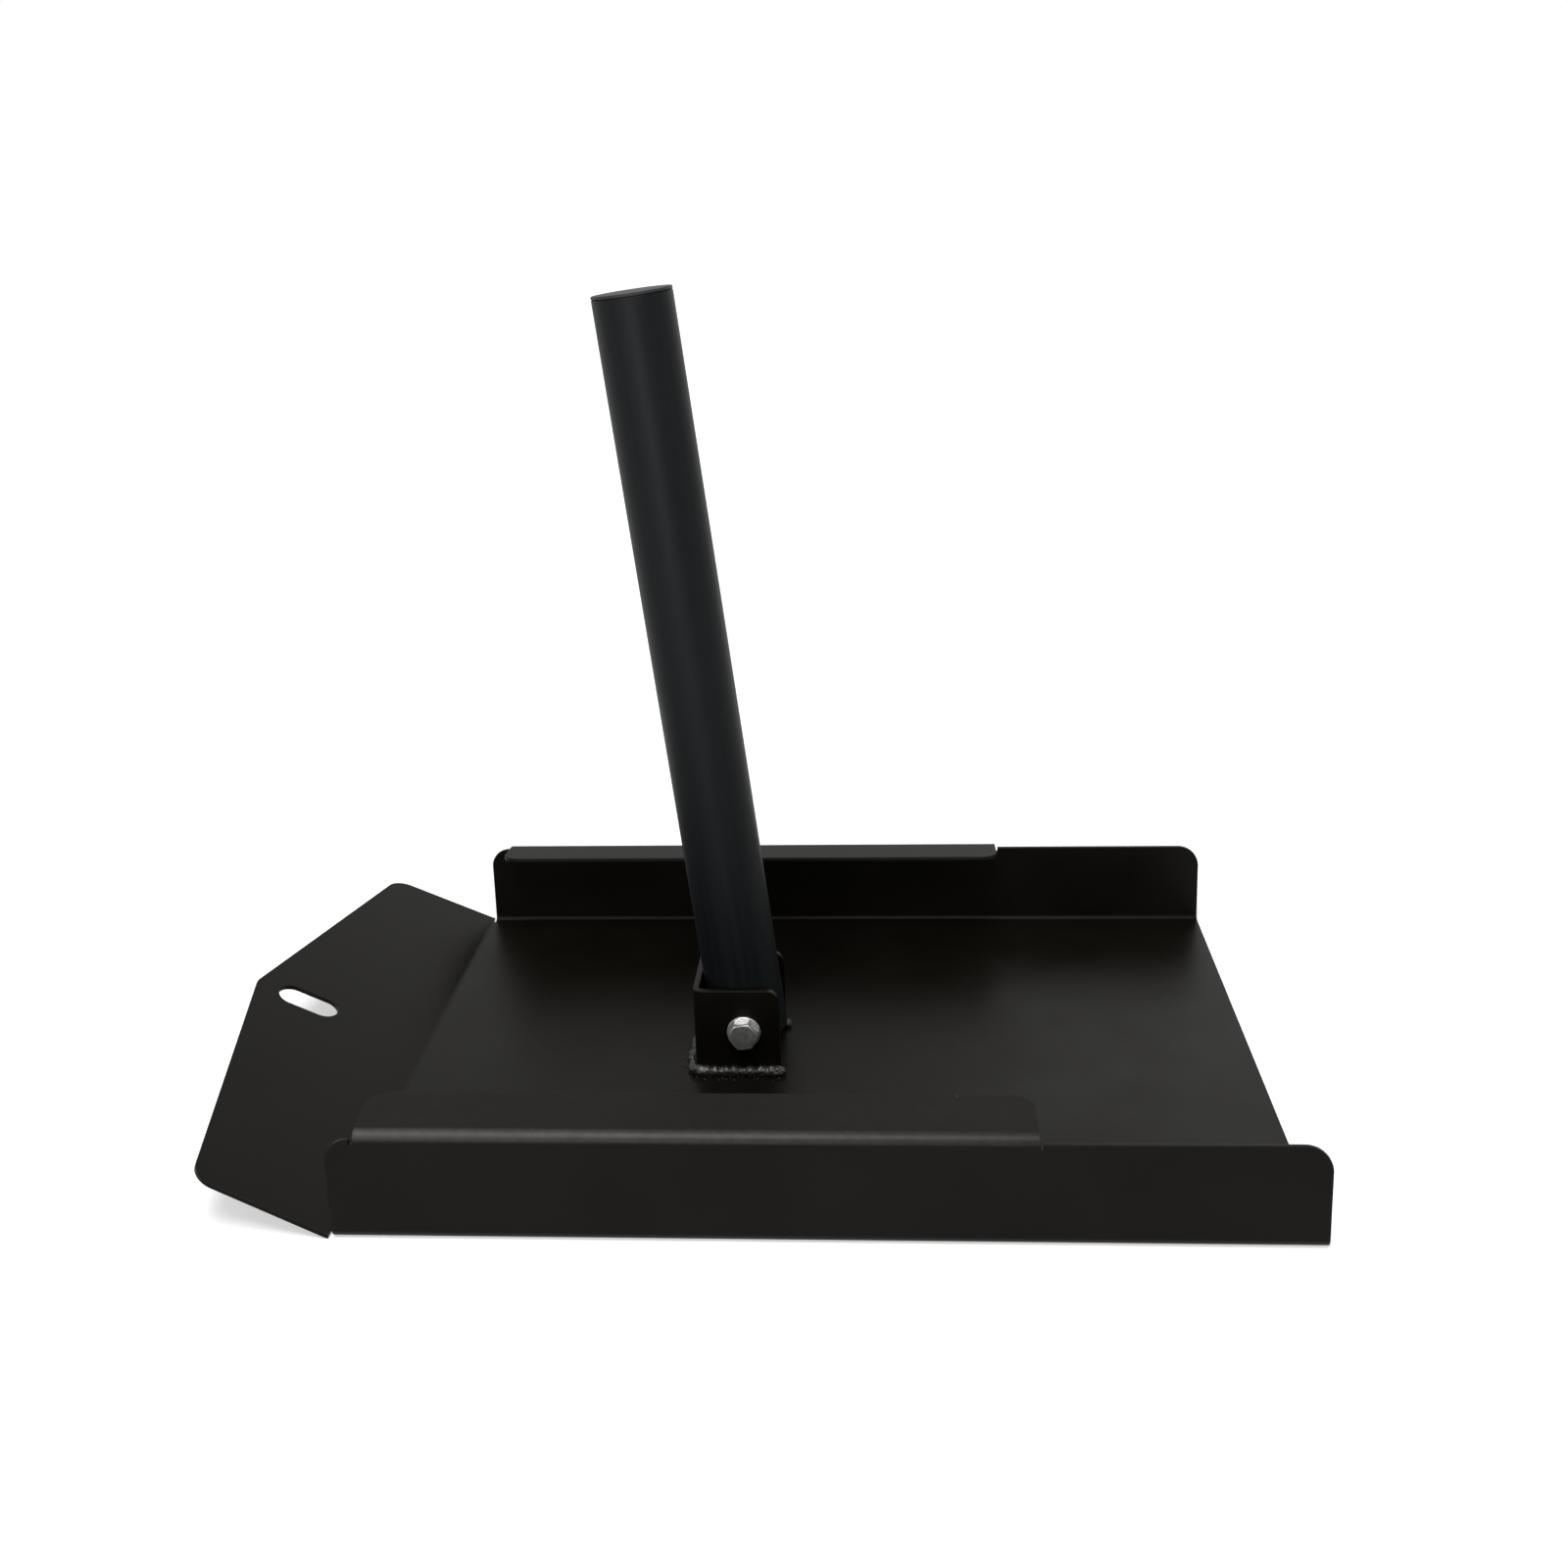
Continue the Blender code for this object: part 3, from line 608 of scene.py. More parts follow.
def ranged(tree, factor, low, high):
    """Carry a factor from 0 to 1 over to another range."""
    span = node_of(tree, "ShaderNodeMapRange", To_Min=low, To_Max=high)
    tree.links.new(factor, span.inputs["Value"])
    return span.outputs["Result"]


def roughen(tree, shader, height, strength, depth):
    """Give a finish the fine unevenness that a height over its surface describes."""
    bump = node_of(tree, "ShaderNodeBump", Strength=strength, Distance=depth)
    tree.links.new(height, bump.inputs["Height"])
    tree.links.new(bump.outputs["Normal"], shader.inputs["Normal"])


def new_material(name):
    """Make a material, and give it with its nodes, its shader and a place on the piece."""
    material = bpy.data.materials.new(name)
    material.use_nodes = True
    tree = material.node_tree
    place = node_of(tree, "ShaderNodeTexCoord")
    return material, tree, tree.nodes["Principled BSDF"], place.outputs["Object"]


def make_coat(
    name, group, dark, pale, speck, sheen_and_scuff, gloss, matt, peel_size, peel_depth, specular,
    patch_size=COAT_PATCH_SIZE, streak=1, lean=0,
):
    """Powder coat in a given colour range, its gloss varying with its patches.

    It is paler and shinier where the piece's own attribute for the painted highlight on the
    lips' bends and the scuff on their flats says so, and duller where its "scuffed" attribute
    does. A streak above 1 draws the patches out that many times along the piece's height, which
    leans forward by lean.
    """
    material, tree, shader, place = new_material(name)
    surface = node_of(
        tree, "ShaderNodeGroup", {"node_tree": group}, Peel_Size=peel_size,
        Patch_Size=patch_size, Speck_Spacing=SPECK_SPACING, Speck_Size=SPECK_SIZE,
        Rub_Size=SHEEN_STREAK_SIZE,
    )
    drawn = node_of(
        tree, "ShaderNodeMapping", {"vector_type": "TEXTURE"}, Rotation=(0, lean, 0),
        Scale=(1, 1, streak),
    )
    tree.links.new(place, surface.inputs["Place"])
    tree.links.new(place, drawn.inputs["Vector"])
    tree.links.new(drawn.outputs["Vector"], surface.inputs["Patch Place"])

    ground = blended(tree, surface.outputs["Patches"], dark, pale)
    dusted = blended(tree, surface.outputs["Specks"], ground, speck)
    # Paler colour and a glossier coat: a painted highlight on the lips' bends, and a scuff on
    # their flats
    sheen_and_scuff_mark = node_of(tree, "ShaderNodeAttribute", {"attribute_name": "sheen_and_scuff"})
    streaks = ranged(tree, surface.outputs["Sheen Streak"], SHEEN_STREAK_LEAST, 1.0)
    sheen_and_scuff_share = combined(tree, "MULTIPLY", sheen_and_scuff_mark.outputs["Fac"], streaks)
    tree.links.new(blended(tree, sheen_and_scuff_share, dusted, sheen_and_scuff), shader.inputs["Base Color"])
    tree.links.new(ranged(tree, sheen_and_scuff_share, 0.0, SHEEN_GLOSS), shader.inputs["Coat Weight"])

    scuffed = node_of(tree, "ShaderNodeAttribute", {"attribute_name": "scuffed"})
    dulled = node_of(tree, "ShaderNodeMix", {"data_type": "FLOAT"})
    dulled.inputs["B"].default_value = SCUFFED_ROUGHNESS
    tree.links.new(scuffed.outputs["Fac"], dulled.inputs["Factor"])
    tree.links.new(ranged(tree, surface.outputs["Patches"], gloss, matt), dulled.inputs["A"])
    tree.links.new(dulled.outputs["Result"], shader.inputs["Roughness"])

    roughen(tree, shader, surface.outputs["Height"], 1.0, peel_depth)
    shader.inputs["Specular IOR Level"].default_value = specular
    shader.inputs["Coat Roughness"].default_value = SHEEN_COAT_ROUGHNESS
    return material


def make_zinc():
    """Bright zinc plating with a faint mottle, paler where it is rougher."""
    material, tree, shader, place = new_material("bright_zinc")
    mottle = node_of(tree, "ShaderNodeTexNoise", Scale=ZINC_MOTTLE_SCALE, Detail=4.0)
    tree.links.new(place, mottle.inputs["Vector"])
    factor = mottle.outputs["Fac"]
    tree.links.new(blended(tree, factor, ZINC_DARK, ZINC_PALE), shader.inputs["Base Color"])
    tree.links.new(ranged(tree, factor, ZINC_SMOOTH, ZINC_ROUGH), shader.inputs["Roughness"])
    roughen(tree, shader, factor, ZINC_BUMP_STRENGTH, ZINC_BUMP_DEPTH)
    shader.inputs["Metallic"].default_value = 1.0
    return material


def make_plastic(name, colour, roughness):
    """Moulded plastic with a fine spark-eroded grain."""
    material, tree, shader, place = new_material(name)
    grain = node_of(tree, "ShaderNodeTexNoise", Scale=GRAIN_SCALE, Detail=2.0)
    tree.links.new(place, grain.inputs["Vector"])
    factor = grain.outputs["Fac"]
    paler = tuple(min(1, channel * GRAIN_PALER) for channel in colour)
    tree.links.new(blended(tree, factor, colour, paler), shader.inputs["Base Color"])
    rougher = ranged(tree, factor, roughness, roughness + GRAIN_ROUGHER)
    tree.links.new(rougher, shader.inputs["Roughness"])
    roughen(tree, shader, factor, GRAIN_STRENGTH, GRAIN_DEPTH)
    shader.inputs["Specular IOR Level"].default_value = PLASTIC_SPECULAR
    return material


def make_finishes():
    """One material for each slot of the record."""
    coat = make_coat_group()
    lean = math.atan2(POST_DIRECTION.x, POST_DIRECTION.z)
    return {
        "powder_coat": make_coat("black_powder_coat", coat, **SHEET_COAT),
        "weld_coat": make_coat("coated_weld", coat, **WELD_COAT),
        "tube_coat": make_coat("satin_tube_coat", coat, lean=lean, **TUBE_COAT),
        "cap_plastic": make_plastic("black_cap_plastic", CAP_BLACK, CAP_ROUGHNESS),
        "zinc": make_zinc(),
        "nylon": make_plastic("white_nylon", NYLON_WHITE, NYLON_ROUGHNESS),
    }


FINISHES = make_finishes()


def finish_piece(name, bm, node, smooth_angle=SMOOTH_ANGLE):
    """Turn a shape into the piece that stands for a node, with that node's body and slot."""
    bmesh.ops.recalc_face_normals(bm, faces=bm.faces)
    piece = plain_object(name, bm)
    piece.data.shade_smooth()
    piece.data.set_sharp_from_angle(angle=smooth_angle)
    piece.data.materials.append(FINISHES[SLOT_OF[node]])
    normals = piece.modifiers.new("even_shading", "WEIGHTED_NORMAL")
    normals.keep_sharp = True
    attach(piece, BODY_OF[node])
    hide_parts(node)
    return piece


# Sheet of the sled


def in_lip(forward):
    """Tell whether a place along the sled lies between the two ends of the lips."""
    margin = RELIEF_WIDTH / 2
    return -LIP_END - margin < forward < -LIP_START + margin


def bent_sheet_point(forward, across, depth):
    """Carry a point of the flat sheet to its place on the bent one, nose bend at x = 0."""
    if forward > MERGE_DISTANCE:
        x, z = fold(forward, depth, [(0, NOSE_NEUTRAL, NOSE_ANGLE)])
        return Vector((x, across, z + SHEET_T / 2))
    bends = [(PAN_FLAT_HALF, SHEET_NEUTRAL, math.pi / 2)]
    if in_lip(forward):
        bends.append((LIP_BEND_START, SHEET_NEUTRAL, LIP_ANGLE))
    y, z = fold(across, depth, bends)
    return Vector((forward, y, z + SHEET_T / 2))


def lip_scuff(forward, across, depth):
    """Tell where plates lie on the lips: 1 over their flats' upper side."""
    on_flat = across > LIP_BEND_END - MERGE_DISTANCE
    return 1.0 if depth < 0 and in_lip(forward) and on_flat else 0.0


def lip_sheen_and_scuff(forward, across, depth):
    """How much paler and glossier a place is: a painted highlight over the outside of the lips'
    bends, fading to the rear, and a faint scuff where plates lie on their flats.
    """
    share = (across - LIP_BEND_START) / (LIP_BEND_END + SHEEN_MARGIN - LIP_BEND_START)
    sheen_and_scuff_amount = SCUFFED_PALER * lip_scuff(forward, across, depth)
    # Painted highlight on the outside of the lips' bends, fading from front to rear
    if depth < 0 and in_lip(forward) and 0 < share < 1:
        fading = 1 - SHEEN_FADE * (-LIP_START - forward) / LIP_LENGTH
        sheen_and_scuff_amount = max(sheen_and_scuff_amount, math.sin(math.pi * share) ** 2 * min(1, fading))
    return sheen_and_scuff_amount


def left_sheet_corners():
    """Outline of the flat sheet's left half, back along its middle past the slot."""
    relief_run = LIP_BEND_START - RELIEF_WIDTH / 2
    nose_relief_run = PAN_FLAT_HALF - RELIEF_WIDTH / 2
    half_width = SLED_WIDTH / 2
    slot_r = SLOT_WIDTH / 2
    slot_front = NOSE_REACH - SLOT_FROM_TIP
    slot_rear = slot_front - SLOT_LENGTH
    return [
        (-PAN_LENGTH, 0, 0),
        (-PAN_LENGTH, WALL_TOP_RUN, WALL_REAR_CORNER),
        (-LIP_END - RELIEF_WIDTH, WALL_TOP_RUN, 0),
        (-LIP_END - RELIEF_WIDTH, relief_run, 0),
        (-LIP_END, relief_run, 0),
        (-LIP_END, LIP_EDGE_RUN, LIP_CORNER),
        (-LIP_START, LIP_EDGE_RUN, LIP_CORNER),
        (-LIP_START, relief_run, 0),
        (-LIP_START + RELIEF_WIDTH, relief_run, 0),
        (-LIP_START + RELIEF_WIDTH, WALL_TOP_RUN, 0),
        (0, WALL_TOP_RUN, WALL_FRONT_CORNER),
        (0, nose_relief_run, 0),
        (RELIEF_WIDTH, nose_relief_run, 0),
        (RELIEF_WIDTH, half_width, 0),
        (NOSE_SIDE, half_width - NOSE_TAPER, NOSE_CORNER),
        (NOSE_TIP_RUN, NOSE_TIP_HALF, NOSE_CORNER),
        (NOSE_TIP_RUN, 0, 0),
        (slot_front, 0, 0),
        (slot_front, slot_r, slot_r),
        (slot_rear, slot_r, slot_r),
        (slot_rear, 0, 0),
    ]


def make_sled_sheet():
    """Half a sheet is cut out, folded up and mirrored to the other side."""
    bm = thicken(flat_outline(left_sheet_corners()), SHEET_T, SHEET_EDGE_ROUNDING, seam=True)
    score(bm, (1, 0, 0), bend_lines(0, NOSE_NEUTRAL, NOSE_ANGLE, NOSE_BEND_STEPS))
    score(
        bm, (0, 1, 0),
        bend_lines(PAN_FLAT_HALF, SHEET_NEUTRAL, math.pi / 2, BEND_STEPS)
        + bend_lines(LIP_BEND_START, SHEET_NEUTRAL, LIP_ANGLE, BEND_STEPS)
        # Lines where the painted highlight runs on past the lips' bends
        + [LIP_BEND_END + SHEEN_MARGIN / 2, LIP_BEND_END + SHEEN_MARGIN],
        rear_of=0,
    )
    # Painted highlight on the lips' bends, with the scuff on their flats, kept for each point
    sheen_and_scuff = bm.verts.layers.float.new("sheen_and_scuff")
    scuffed = bm.verts.layers.float.new("scuffed")
    for vert in bm.verts:
        vert[sheen_and_scuff] = lip_sheen_and_scuff(*vert.co)
        vert[scuffed] = lip_scuff(*vert.co)
        vert.co = bent_sheet_point(*vert.co)
        vert.co.x += NOSE_BEND_X
    bmesh.ops.mirror(
        bm, geom=bm.verts[:] + bm.edges[:] + bm.faces[:], axis="Y", merge_dist=MERGE_DISTANCE
    )
    bmesh.ops.remove_doubles(bm, verts=bm.verts, dist=MERGE_DISTANCE)
    return finish_piece("bent_sled_sheet", bm, "sled_plate")


# Bracket and its welds


def make_bracket_sheet():
    """Strip bent round its two upright bends, with the bolt's hole through both ears."""
    ear_end = WEB_FLAT_HALF + BRACKET_NEUTRAL * math.pi / 2 + EAR_FLAT
    height = BRACKET_TOP_Z - BRACKET_FOOT_Z
    corners = [
        (-ear_end, 0, 0),
        (ear_end, 0, 0),
        (ear_end, height, EAR_CORNER),
        (-ear_end, height, EAR_CORNER),
    ]
    bm = thicken(flat_outline(corners), BRACKET_T, BRACKET_EDGE_ROUNDING)
    bend = (WEB_FLAT_HALF, BRACKET_NEUTRAL, math.pi / 2)
    lines = bend_lines(*bend, BEND_STEPS)
    score(bm, (1, 0, 0), lines + [-line for line in lines])
    middle_x = WEB_FRONT_X - BRACKET_T / 2
    for vert in bm.verts:
        y, back = fold(abs(vert.co.x), vert.co.z, [bend])
        side = math.copysign(y, vert.co.x)
        vert.co = Vector((middle_x - back, side, BRACKET_FOOT_Z + vert.co.y))
    reach = 2 * EAR_OUTSIDE
    drill = along_bolt(turned([(HOLE_R, reach), (HOLE_R, -reach)], SMALL_SIDES), 0)
    bm = combine(bm, drill, "DIFFERENCE")
    return finish_piece("bracket_sheet", bm, "post_bracket")


def foot_place(run):
    """Point and outward direction on the bracket's foot line, run metres left of its middle."""
    bends = [(WEB_FLAT_HALF, BRACKET_BEND_OUTSIDE, math.pi / 2)]
    y, back = fold(abs(run), 0, bends)
    y_out, back_out = fold(abs(run), -1, bends)
    side = math.copysign(1, run)
    point = Vector((WEB_FRONT_X - back, y * side, SHEET_T))
    return point, Vector((back - back_out, (y_out - y) * side, 0))


def lay_blob(bm, point, out, size):
    """Melt one blob of weld into the corner between bracket and pan."""
    centre = point + out * BLOB_RISE * size + Vector((0, 0, BLOB_RISE * size))
    slant = (out + Vector((0, 0, 1))).to_track_quat("Z", "Y").to_matrix().to_4x4()
    shape = Matrix.Diagonal((BLOB_ACROSS * size, BLOB_ACROSS * size, BLOB_ALONG * size, 1))
    turn = Matrix.Rotation(math.pi / 2, 4, "Y")
    bmesh.ops.create_icosphere(
        bm, subdivisions=3, radius=1,
        matrix=Matrix.Translation(centre) @ slant @ turn @ shape,
    )


def add_spatter(bm, low, high, chance):
    """Strew small drops beside the bead, most of them close to it."""
    for _ in range(SPATTER_DROPS):
        point, out = foot_place(chance.uniform(low, high))
        radius = chance.uniform(SPATTER_SMALLEST, SPATTER_LARGEST)
        away = SPATTER_NEAREST + chance.random() ** 2 * (SPATTER_REACH - SPATTER_NEAREST)
        drop = point + out * away + Vector((0, 0, radius * SPATTER_RAISE))
        bmesh.ops.create_icosphere(
            bm, subdivisions=2, radius=radius, matrix=Matrix.Translation(drop)
        )


def make_weld_bead(name, node, start, end, seed):
    """Bead of overlapping blobs, melted together, uneven and cut off at the pan's face."""
    chance = random.Random(seed)
    low, high = sorted((start, end))
    bm = bmesh.new()
    count = round((high - low) / BLOB_PITCH)
    for index in range(count + 1):
        run = start + (end - start) * index / count
        run += chance.uniform(-BLOB_SHIFT, BLOB_SHIFT) * BLOB_PITCH
        run = min(max(run, low), high)
        point, out = foot_place(run)
        lay_blob(bm, point, out, 1 + chance.uniform(-1, 1) * BLOB_UNEVEN)
    melted = plain_object("melted", bm)
    remesh = melted.modifiers.new("melt", "REMESH")
    remesh.mode = "VOXEL"
    remesh.voxel_size = BEAD_VOXEL
    bm = settled(melted)
    for _ in range(BEAD_SMOOTHINGS):
        bmesh.ops.smooth_vert(
            bm, verts=bm.verts, factor=BEAD_SMOOTHING,
            use_axis_x=True, use_axis_y=True, use_axis_z=True,
        )
    bm.normal_update()
    for vert in bm.verts:
        lump = noise.noise(vert.co / BEAD_NOISE_SIZE)
        vert.co += vert.normal * lump * BEAD_NOISE_DEPTH
    trim(bm, SHEET_T - BEAD_SINK, -1)
    bmesh.ops.holes_fill(bm, edges=bm.edges)
    add_spatter(bm, low, high, chance)
    return finish_piece(name, bm, node, smooth_angle=math.pi)


def make_weld_beads():
    """Front, left and right beads, which meet half way round the bracket's bends."""
    corner = WEB_FLAT_HALF + BRACKET_BEND_OUTSIDE * math.pi / 4
    end = WEB_FLAT_HALF + BRACKET_BEND_OUTSIDE * math.pi / 2 + EAR_FLAT
    make_weld_bead("front_weld_bead", "weld_front", -corner, corner, 3)
    make_weld_bead("left_weld_bead", "weld_left", corner, end, 5)
    make_weld_bead("right_weld_bead", "weld_right", -corner, -end, 7)


# Post


def make_plate_post():
    """Tube with rounded ends and the bolt's hole near its foot."""
    top = POST_TOP - CAP_FLANGE - SEAT_GAP
    bottom = top - TUBE_LENGTH
    profile = [(TUBE_BORE_R, bottom), (TUBE_R, bottom), (TUBE_R, top), (TUBE_BORE_R, top)]
    bm = round_rims(turned(profile, TUBE_SIDES, ring=True), TUBE_EDGE_ROUNDING)
    bm = along_post(bm)
    drill = along_bolt(turned([(HOLE_R, EAR_OUTSIDE), (HOLE_R, -EAR_OUTSIDE)], SMALL_SIDES), 0)
    bm = combine(bm, drill, "DIFFERENCE")
    return finish_piece("plate_post", bm, "post_tube")


def make_post_end_cap():
    """Plastic cap: a flange on the tube's end and a hollow plug with round fins."""
    seat = POST_TOP - CAP_FLANGE
    fin_r = TUBE_BORE_R - SEAT_GAP
    plug_r = fin_r - CAP_FIN_REACH
    bottom = seat - CAP_PLUG_DEPTH
    profile = [(TUBE_R, POST_TOP), (TUBE_R, seat), (plug_r, seat)]
    for fin in range(1, CAP_FINS + 1):
        height = seat - CAP_PLUG_DEPTH * fin / (CAP_FINS + 1)
        profile += [
            (plug_r, height + CAP_FIN_ROOT / 2),
            (fin_r, height + CAP_FIN_TIP / 2),
            (fin_r, height - CAP_FIN_TIP / 2),
            (plug_r, height - CAP_FIN_ROOT / 2),
        ]
    profile += [(plug_r, bottom), (plug_r - CAP_WALL, bottom), (plug_r - CAP_WALL, seat)]
    bm = turned(profile, TUBE_SIDES)
    crown = [
        edge for edge in bm.edges
        if all(vert.co.z > POST_TOP - MERGE_DISTANCE for vert in edge.verts)
    ]
    round_edges(bm, crown, CAP_EDGE_ROUNDING)
    return finish_piece("post_end_cap", along_post(bm), "post_cap")


# Bolt, washers and nut


def hex_bar(flats, height):
    """Hexagonal stock with softened corners, longer at both ends than what is cut from it."""
    bm = bmesh.new()
    bmesh.ops.create_cone(
        bm, cap_ends=True, segments=6, depth=height * 2,
        radius1=flats / math.sqrt(3), radius2=flats / math.sqrt(3),
    )
    upright = [edge for edge in bm.edges if edge_height(edge) > height]
    round_edges(bm, upright, HEX_EDGE_ROUNDING)
    stand = Matrix.Translation((0, 0, height / 2)) @ Matrix.Rotation(HEX_TURN, 4, "Z")
    bmesh.ops.transform(bm, matrix=stand, verts=bm.verts)
    return bm


def crown(flats, height, both_ends):
    """Turned shape that a head or nut shares with its hexagonal stock."""
    face_r = flats / 2 - CROWN_FACE_STEP
    wide = flats / math.sqrt(3) + CROWN_MARGIN
    drop = (wide - face_r) * math.tan(CROWN_SLOPE)
    profile = [(face_r, height), (wide, height - drop)]
    if both_ends:
        profile += [(wide, drop), (face_r, 0)]
    else:
        profile += [(wide, 0)]
    return turned(profile, SMALL_SIDES)


def threaded_end(length):
    """Thread wound down from z = 0, with a chamfered tip."""
    crest = BOLT_DIAMETER / 2 - THREAD_CREST_PLAY
    root = crest - THREAD_DEPTH
    tooth = [
        (root, 0),
        (crest, THREAD_FLANK_SHARE),
        (crest, THREAD_FLANK_SHARE + THREAD_CREST_SHARE),
        (root, 2 * THREAD_FLANK_SHARE + THREAD_CREST_SHARE),
        (root, 1),
    ]
    turns = math.ceil(length / THREAD_PITCH) + THREAD_SPARE_TURNS
    bm = bmesh.new()
    points = [bm.verts.new((r, 0, share * THREAD_PITCH)) for r, share in tooth]
    edges = [bm.edges.new(pair) for pair in zip(points, points[1:])]
    bmesh.ops.spin(
        bm, geom=points + edges, axis=(0, 0, 1), cent=(0, 0, 0),
        dvec=(0, 0, -THREAD_PITCH / THREAD_STEPS), angle=math.tau * turns,
        steps=THREAD_STEPS * turns,
    )
    bmesh.ops.remove_doubles(bm, verts=bm.verts, dist=10 * MERGE_DISTANCE)
    trim(bm, 0, 1)
    trim(bm, -length, -1)
    bmesh.ops.holes_fill(bm, edges=bm.edges)
    wide = BOLT_DIAMETER
    tip_r = crest - TIP_CHAMFER
    chamfered = [(wide, length), (wide, wide - tip_r - length), (tip_r, -length)]
    return combine(bm, turned(chamfered, SMALL_SIDES), "INTERSECT")


def make_hex_bolt():
    """Hexagon head on the left, plain shank through the ears, thread at the nut's end."""
    seat = HEAD_FACE_Y - HEAD_HEIGHT
    length = seat - BOLT_TIP_Y
    shank_r = BOLT_DIAMETER / 2
    bm = hex_bar(HEAD_FLATS, HEAD_HEIGHT)
    bm = combine(bm, crown(HEAD_FLATS, HEAD_HEIGHT, False), "INTERSECT")
    shank = [(shank_r, HEAD_HEIGHT / 2), (shank_r, THREAD_LENGTH - length)]
    bm = combine(bm, turned(shank, SMALL_SIDES), "UNION")
    thread = threaded_end(THREAD_LENGTH + SEAT_GAP)
    bmesh.ops.translate(thread, verts=thread.verts, vec=(0, 0, THREAD_LENGTH + SEAT_GAP - length))
    bm = combine(bm, thread, "UNION")
    return finish_piece("hex_pivot_bolt", along_bolt(bm, seat), "pivot_bolt")


def make_washer(name, node, side):
    """Flat punched washer, its outer rim rounded over on the face that shows."""
    profile = [(HOLE_R, 0), (WASHER_R, 0), (WASHER_R, WASHER_T), (HOLE_R, WASHER_T)]
    bm = turned(profile, SMALL_SIDES, ring=True)
    rim = [
        edge for edge in bm.edges
        if all(vert.co.z > WASHER_T / 2 for vert in edge.verts)
        and all(vert.co.xy.length > WASHER_R - MERGE_DISTANCE for vert in edge.verts)
    ]
    round_edges(bm, rim, WASHER_ROUNDING)
    return finish_piece(name, along_bolt(bm, side * WASHER_SEAT, side), node)


def quarter_arc(radius, centre_r, centre_z):
    """Points of a rolled outer edge, from its flat end face round to its side."""
    angles = [math.pi / 2 * (1 - step / ROLL_STEPS) for step in range(ROLL_STEPS + 1)]
    return [
        (centre_r + radius * math.cos(angle), centre_z + radius * math.sin(angle))
        for angle in angles
    ]


def make_nylon_lock_nut():
    """Hexagon with a round collar, rolled in over the nylon ring."""
    past = NUT_HEIGHT / 2
    lip_r = RECESS_R - NUT_LIP_REACH
    recess_floor = INSERT_FLOOR - SEAT_GAP
    rolled = quarter_arc(NUT_COLLAR_WALL, RECESS_R, NUT_HEIGHT - NUT_COLLAR_WALL)
    bore = [
        (lip_r, NUT_HEIGHT + past),
        (lip_r, NUT_HEIGHT - NUT_LIP_T / 2),
        (RECESS_R, NUT_HEIGHT - NUT_LIP_T),
        (RECESS_R, recess_floor),
        (HOLE_R, recess_floor),
        (HOLE_R, -past),
    ]
    bm = hex_bar(NUT_FLATS, NUT_HEX_HEIGHT)
    bm = combine(bm, crown(NUT_FLATS, NUT_HEX_HEIGHT, True), "INTERSECT")
    bm = combine(bm, turned([*rolled, (COLLAR_R, past)], SMALL_SIDES), "UNION")
    bm = combine(bm, turned(bore, SMALL_SIDES), "DIFFERENCE")
    return finish_piece("nylon_lock_nut", along_bolt(bm, -NUT_SEAT, -1), "lock_nut")


def make_nut_ring():
    """Nylon ring in the nut's collar."""
    outer = RECESS_R - SEAT_GAP
    profile = [
        (HOLE_R, INSERT_FLOOR),
        (outer, INSERT_FLOOR),
        (outer, INSERT_TOP),
        (HOLE_R, INSERT_TOP),
    ]
    bm = turned(profile, SMALL_SIDES, ring=True)
    return finish_piece("nut_nylon_ring", along_bolt(bm, -NUT_SEAT, -1), "nut_insert")


# Studio


def seen_directly(tree):
    """1 for rays from the camera, from reflections and through clear surfaces, else 0."""
    path = node_of(tree, "ShaderNodeLightPath")
    seen = path.outputs["Is Camera Ray"]
    for name in ("Is Glossy Ray", "Is Transmission Ray"):
        seen = combined(tree, "MAXIMUM", seen, path.outputs[name])
    return seen


def mixed(tree, factor, first, second):
    """Mix two shader nodes by a factor."""
    mix = node_of(tree, "ShaderNodeMixShader")
    tree.links.new(factor, mix.inputs[0])
    tree.links.new(first.outputs[0], mix.inputs[1])
    tree.links.new(second.outputs[0], mix.inputs[2])
    return mix


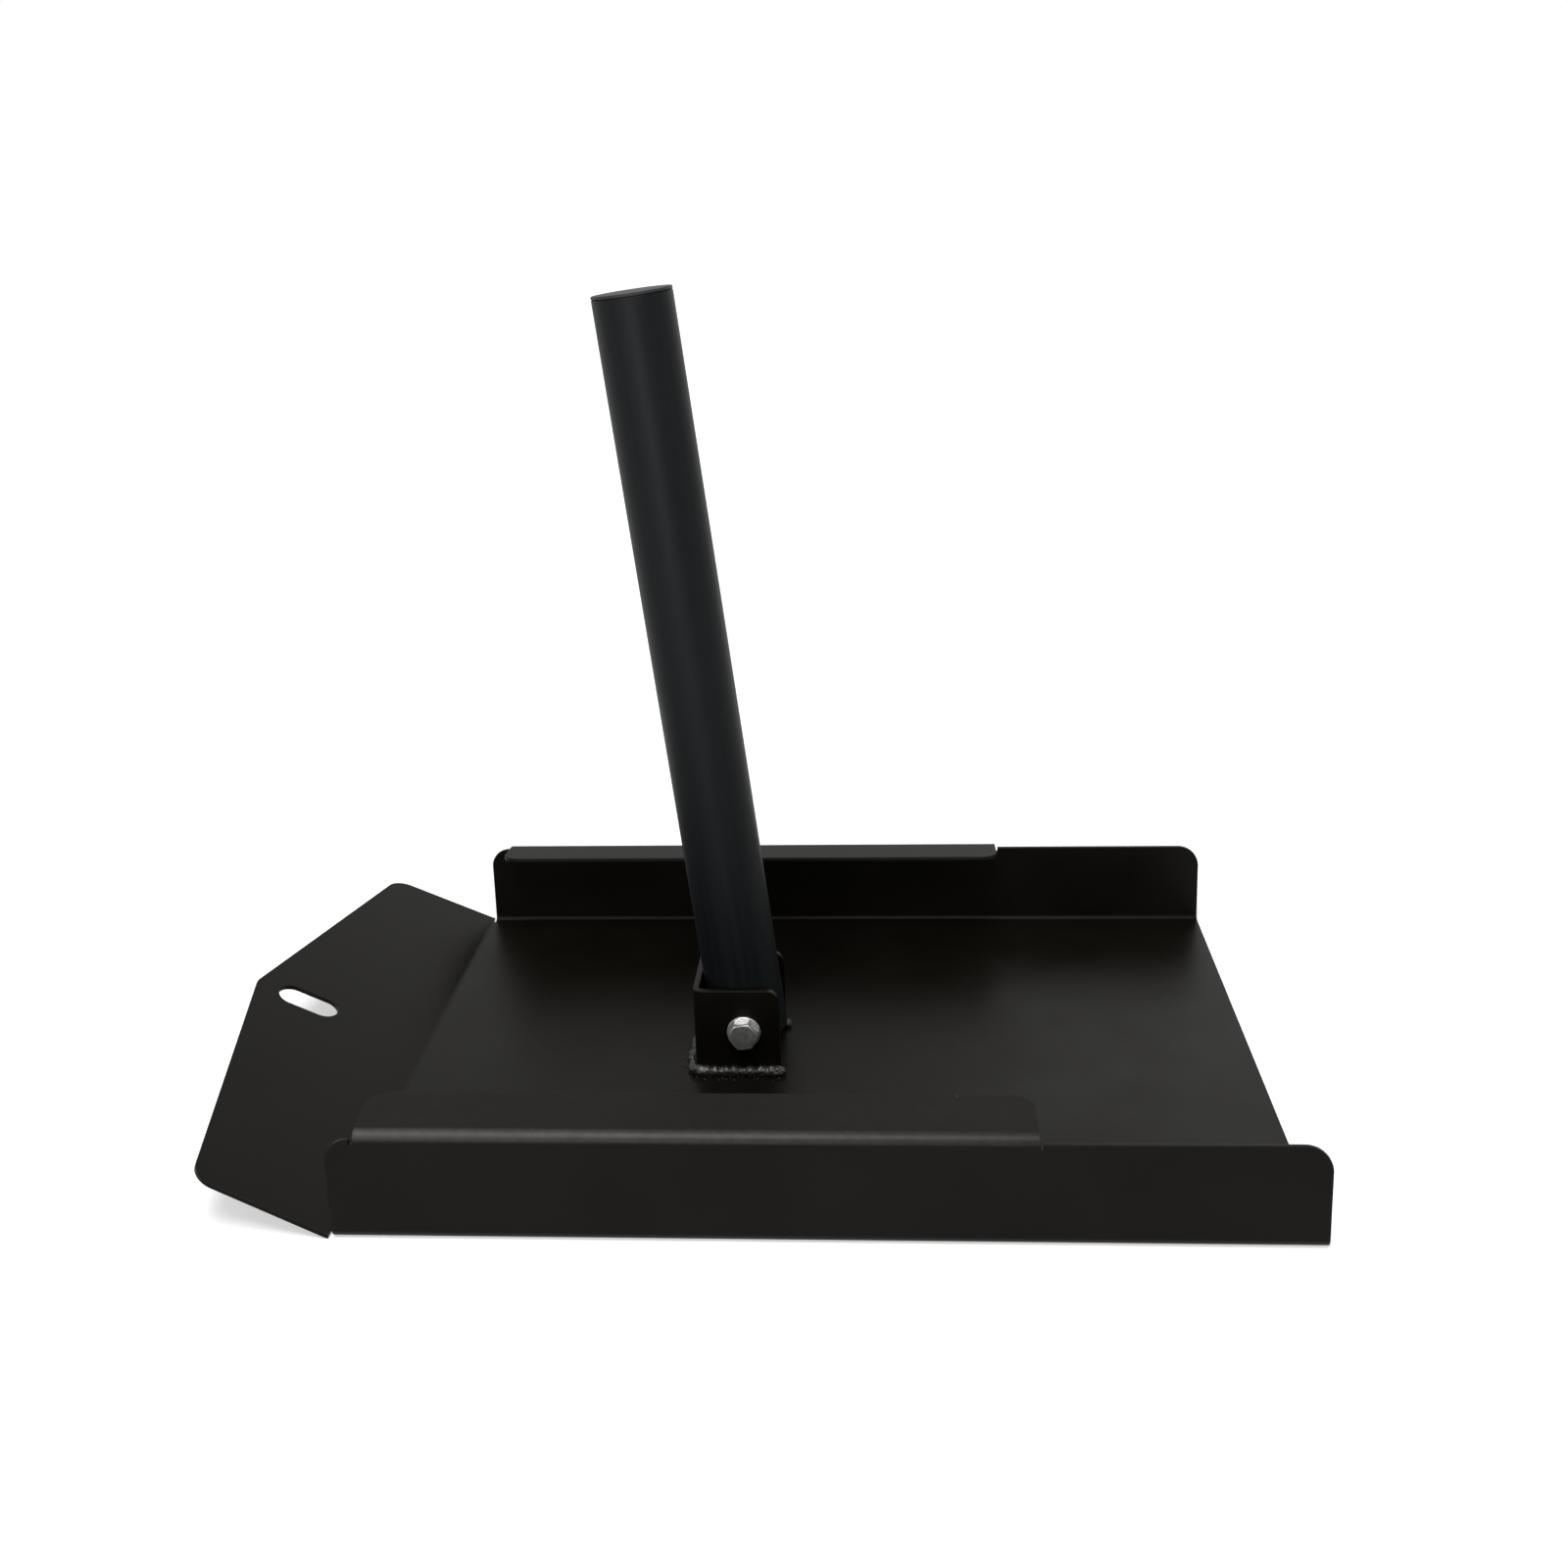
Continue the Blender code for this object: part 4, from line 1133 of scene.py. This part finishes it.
def make_floor():
    """Pale floor that shows white to the camera and in reflections, and keeps the shadow.

    It is clear from below, so that the pan's underside can be looked at.
    """
    bm = bmesh.new()
    bmesh.ops.create_circle(
        bm, cap_ends=True, radius=FLOOR_R, segments=FLOOR_SIDES,
        matrix=Matrix.Translation((0, 0, -FLOOR_GAP)),
    )
    floor = plain_object("studio_floor", bm)
    material = bpy.data.materials.new("pale_floor")
    material.use_nodes = True
    tree = material.node_tree
    tree.nodes.clear()
    paint = node_of(tree, "ShaderNodeBsdfDiffuse", Color=(*FLOOR_COLOUR, 1))
    place = node_of(tree, "ShaderNodeTexCoord")
    distance = node_of(tree, "ShaderNodeVectorMath", {"operation": "LENGTH"})
    tree.links.new(place.outputs["Object"], distance.inputs[0])
    rise = node_of(
        tree, "ShaderNodeMapRange", From_Min=GLOW_NEAR, From_Max=GLOW_FAR, To_Min=GLOW_LEAST
    )
    tree.links.new(distance.outputs["Value"], rise.inputs["Value"])
    glow = node_of(tree, "ShaderNodeEmission", Color=(1, 1, 1, 1))
    tree.links.new(rise.outputs["Result"], glow.inputs["Strength"])
    glowing_paint = node_of(tree, "ShaderNodeAddShader")
    tree.links.new(paint.outputs[0], glowing_paint.inputs[0])
    tree.links.new(glow.outputs[0], glowing_paint.inputs[1])
    upper_side = mixed(tree, seen_directly(tree), paint, glowing_paint)
    clear = node_of(tree, "ShaderNodeBsdfTransparent")
    geometry = node_of(tree, "ShaderNodeNewGeometry")
    both_sides = mixed(tree, geometry.outputs["Backfacing"], upper_side, clear)
    output = node_of(tree, "ShaderNodeOutputMaterial")
    tree.links.new(both_sides.outputs[0], output.inputs["Surface"])
    floor.data.materials.append(material)


def make_world():
    """White behind the object, and a softer even light from all round on it."""
    world = bpy.data.worlds.new("studio")
    bpy.context.scene.world = world
    world.use_nodes = True
    tree = world.node_tree
    background = tree.nodes["Background"]
    background.inputs["Color"].default_value = (1, 1, 1, 1)
    strength = ranged(tree, seen_directly(tree), WORLD_STRENGTH, 1.0)
    tree.links.new(strength, background.inputs["Strength"])


def make_lamp(name, place, target, width, height, power):
    """Hang a soft rectangular lamp, turned to its target and hidden from the camera."""
    lamp = bpy.data.lights.new(name, "AREA")
    lamp.shape = "RECTANGLE"
    lamp.size = width
    lamp.size_y = height
    lamp.energy = power
    holder = bpy.data.objects.new(name, lamp)
    holder.location = place
    aim = Vector(target) - Vector(place)
    holder.rotation_euler = aim.to_track_quat("-Z", "Y").to_euler()
    holder.visible_camera = False
    bpy.context.scene.collection.objects.link(holder)


def make_camera():
    """Stand the camera where the photograph was taken from."""
    lens = bpy.data.cameras.new("photo_camera")
    lens.lens = CAMERA_LENS
    lens.sensor_width = CAMERA_SENSOR
    lens.shift_y = CAMERA_SHIFT_Y
    lens.clip_start = CAMERA_NEAR
    lens.clip_end = CAMERA_FAR
    camera = bpy.data.objects.new("photo_camera", lens)
    camera.matrix_world = (
        Matrix.Translation(CAMERA_PLACE)
        @ Matrix.Rotation(CAMERA_HEADING, 4, "Z")
        @ Matrix.Rotation(math.pi / 2 - CAMERA_PITCH, 4, "X")
        @ Matrix.Rotation(CAMERA_ROLL, 4, "Z")
    )
    bpy.context.scene.collection.objects.link(camera)
    bpy.context.scene.camera = camera


make_sled_sheet()
make_bracket_sheet()
make_weld_beads()
make_plate_post()
make_post_end_cap()
make_hex_bolt()
make_washer("bolt_washer", "head_washer", 1)
make_washer("nut_side_washer", "nut_washer", -1)
make_nylon_lock_nut()
make_nut_ring()
make_floor()
make_world()
for lamp_name, lamp_values in LAMPS.items():
    make_lamp(lamp_name, *lamp_values)
make_camera()
bpy.context.scene.view_settings.view_transform = "Standard"
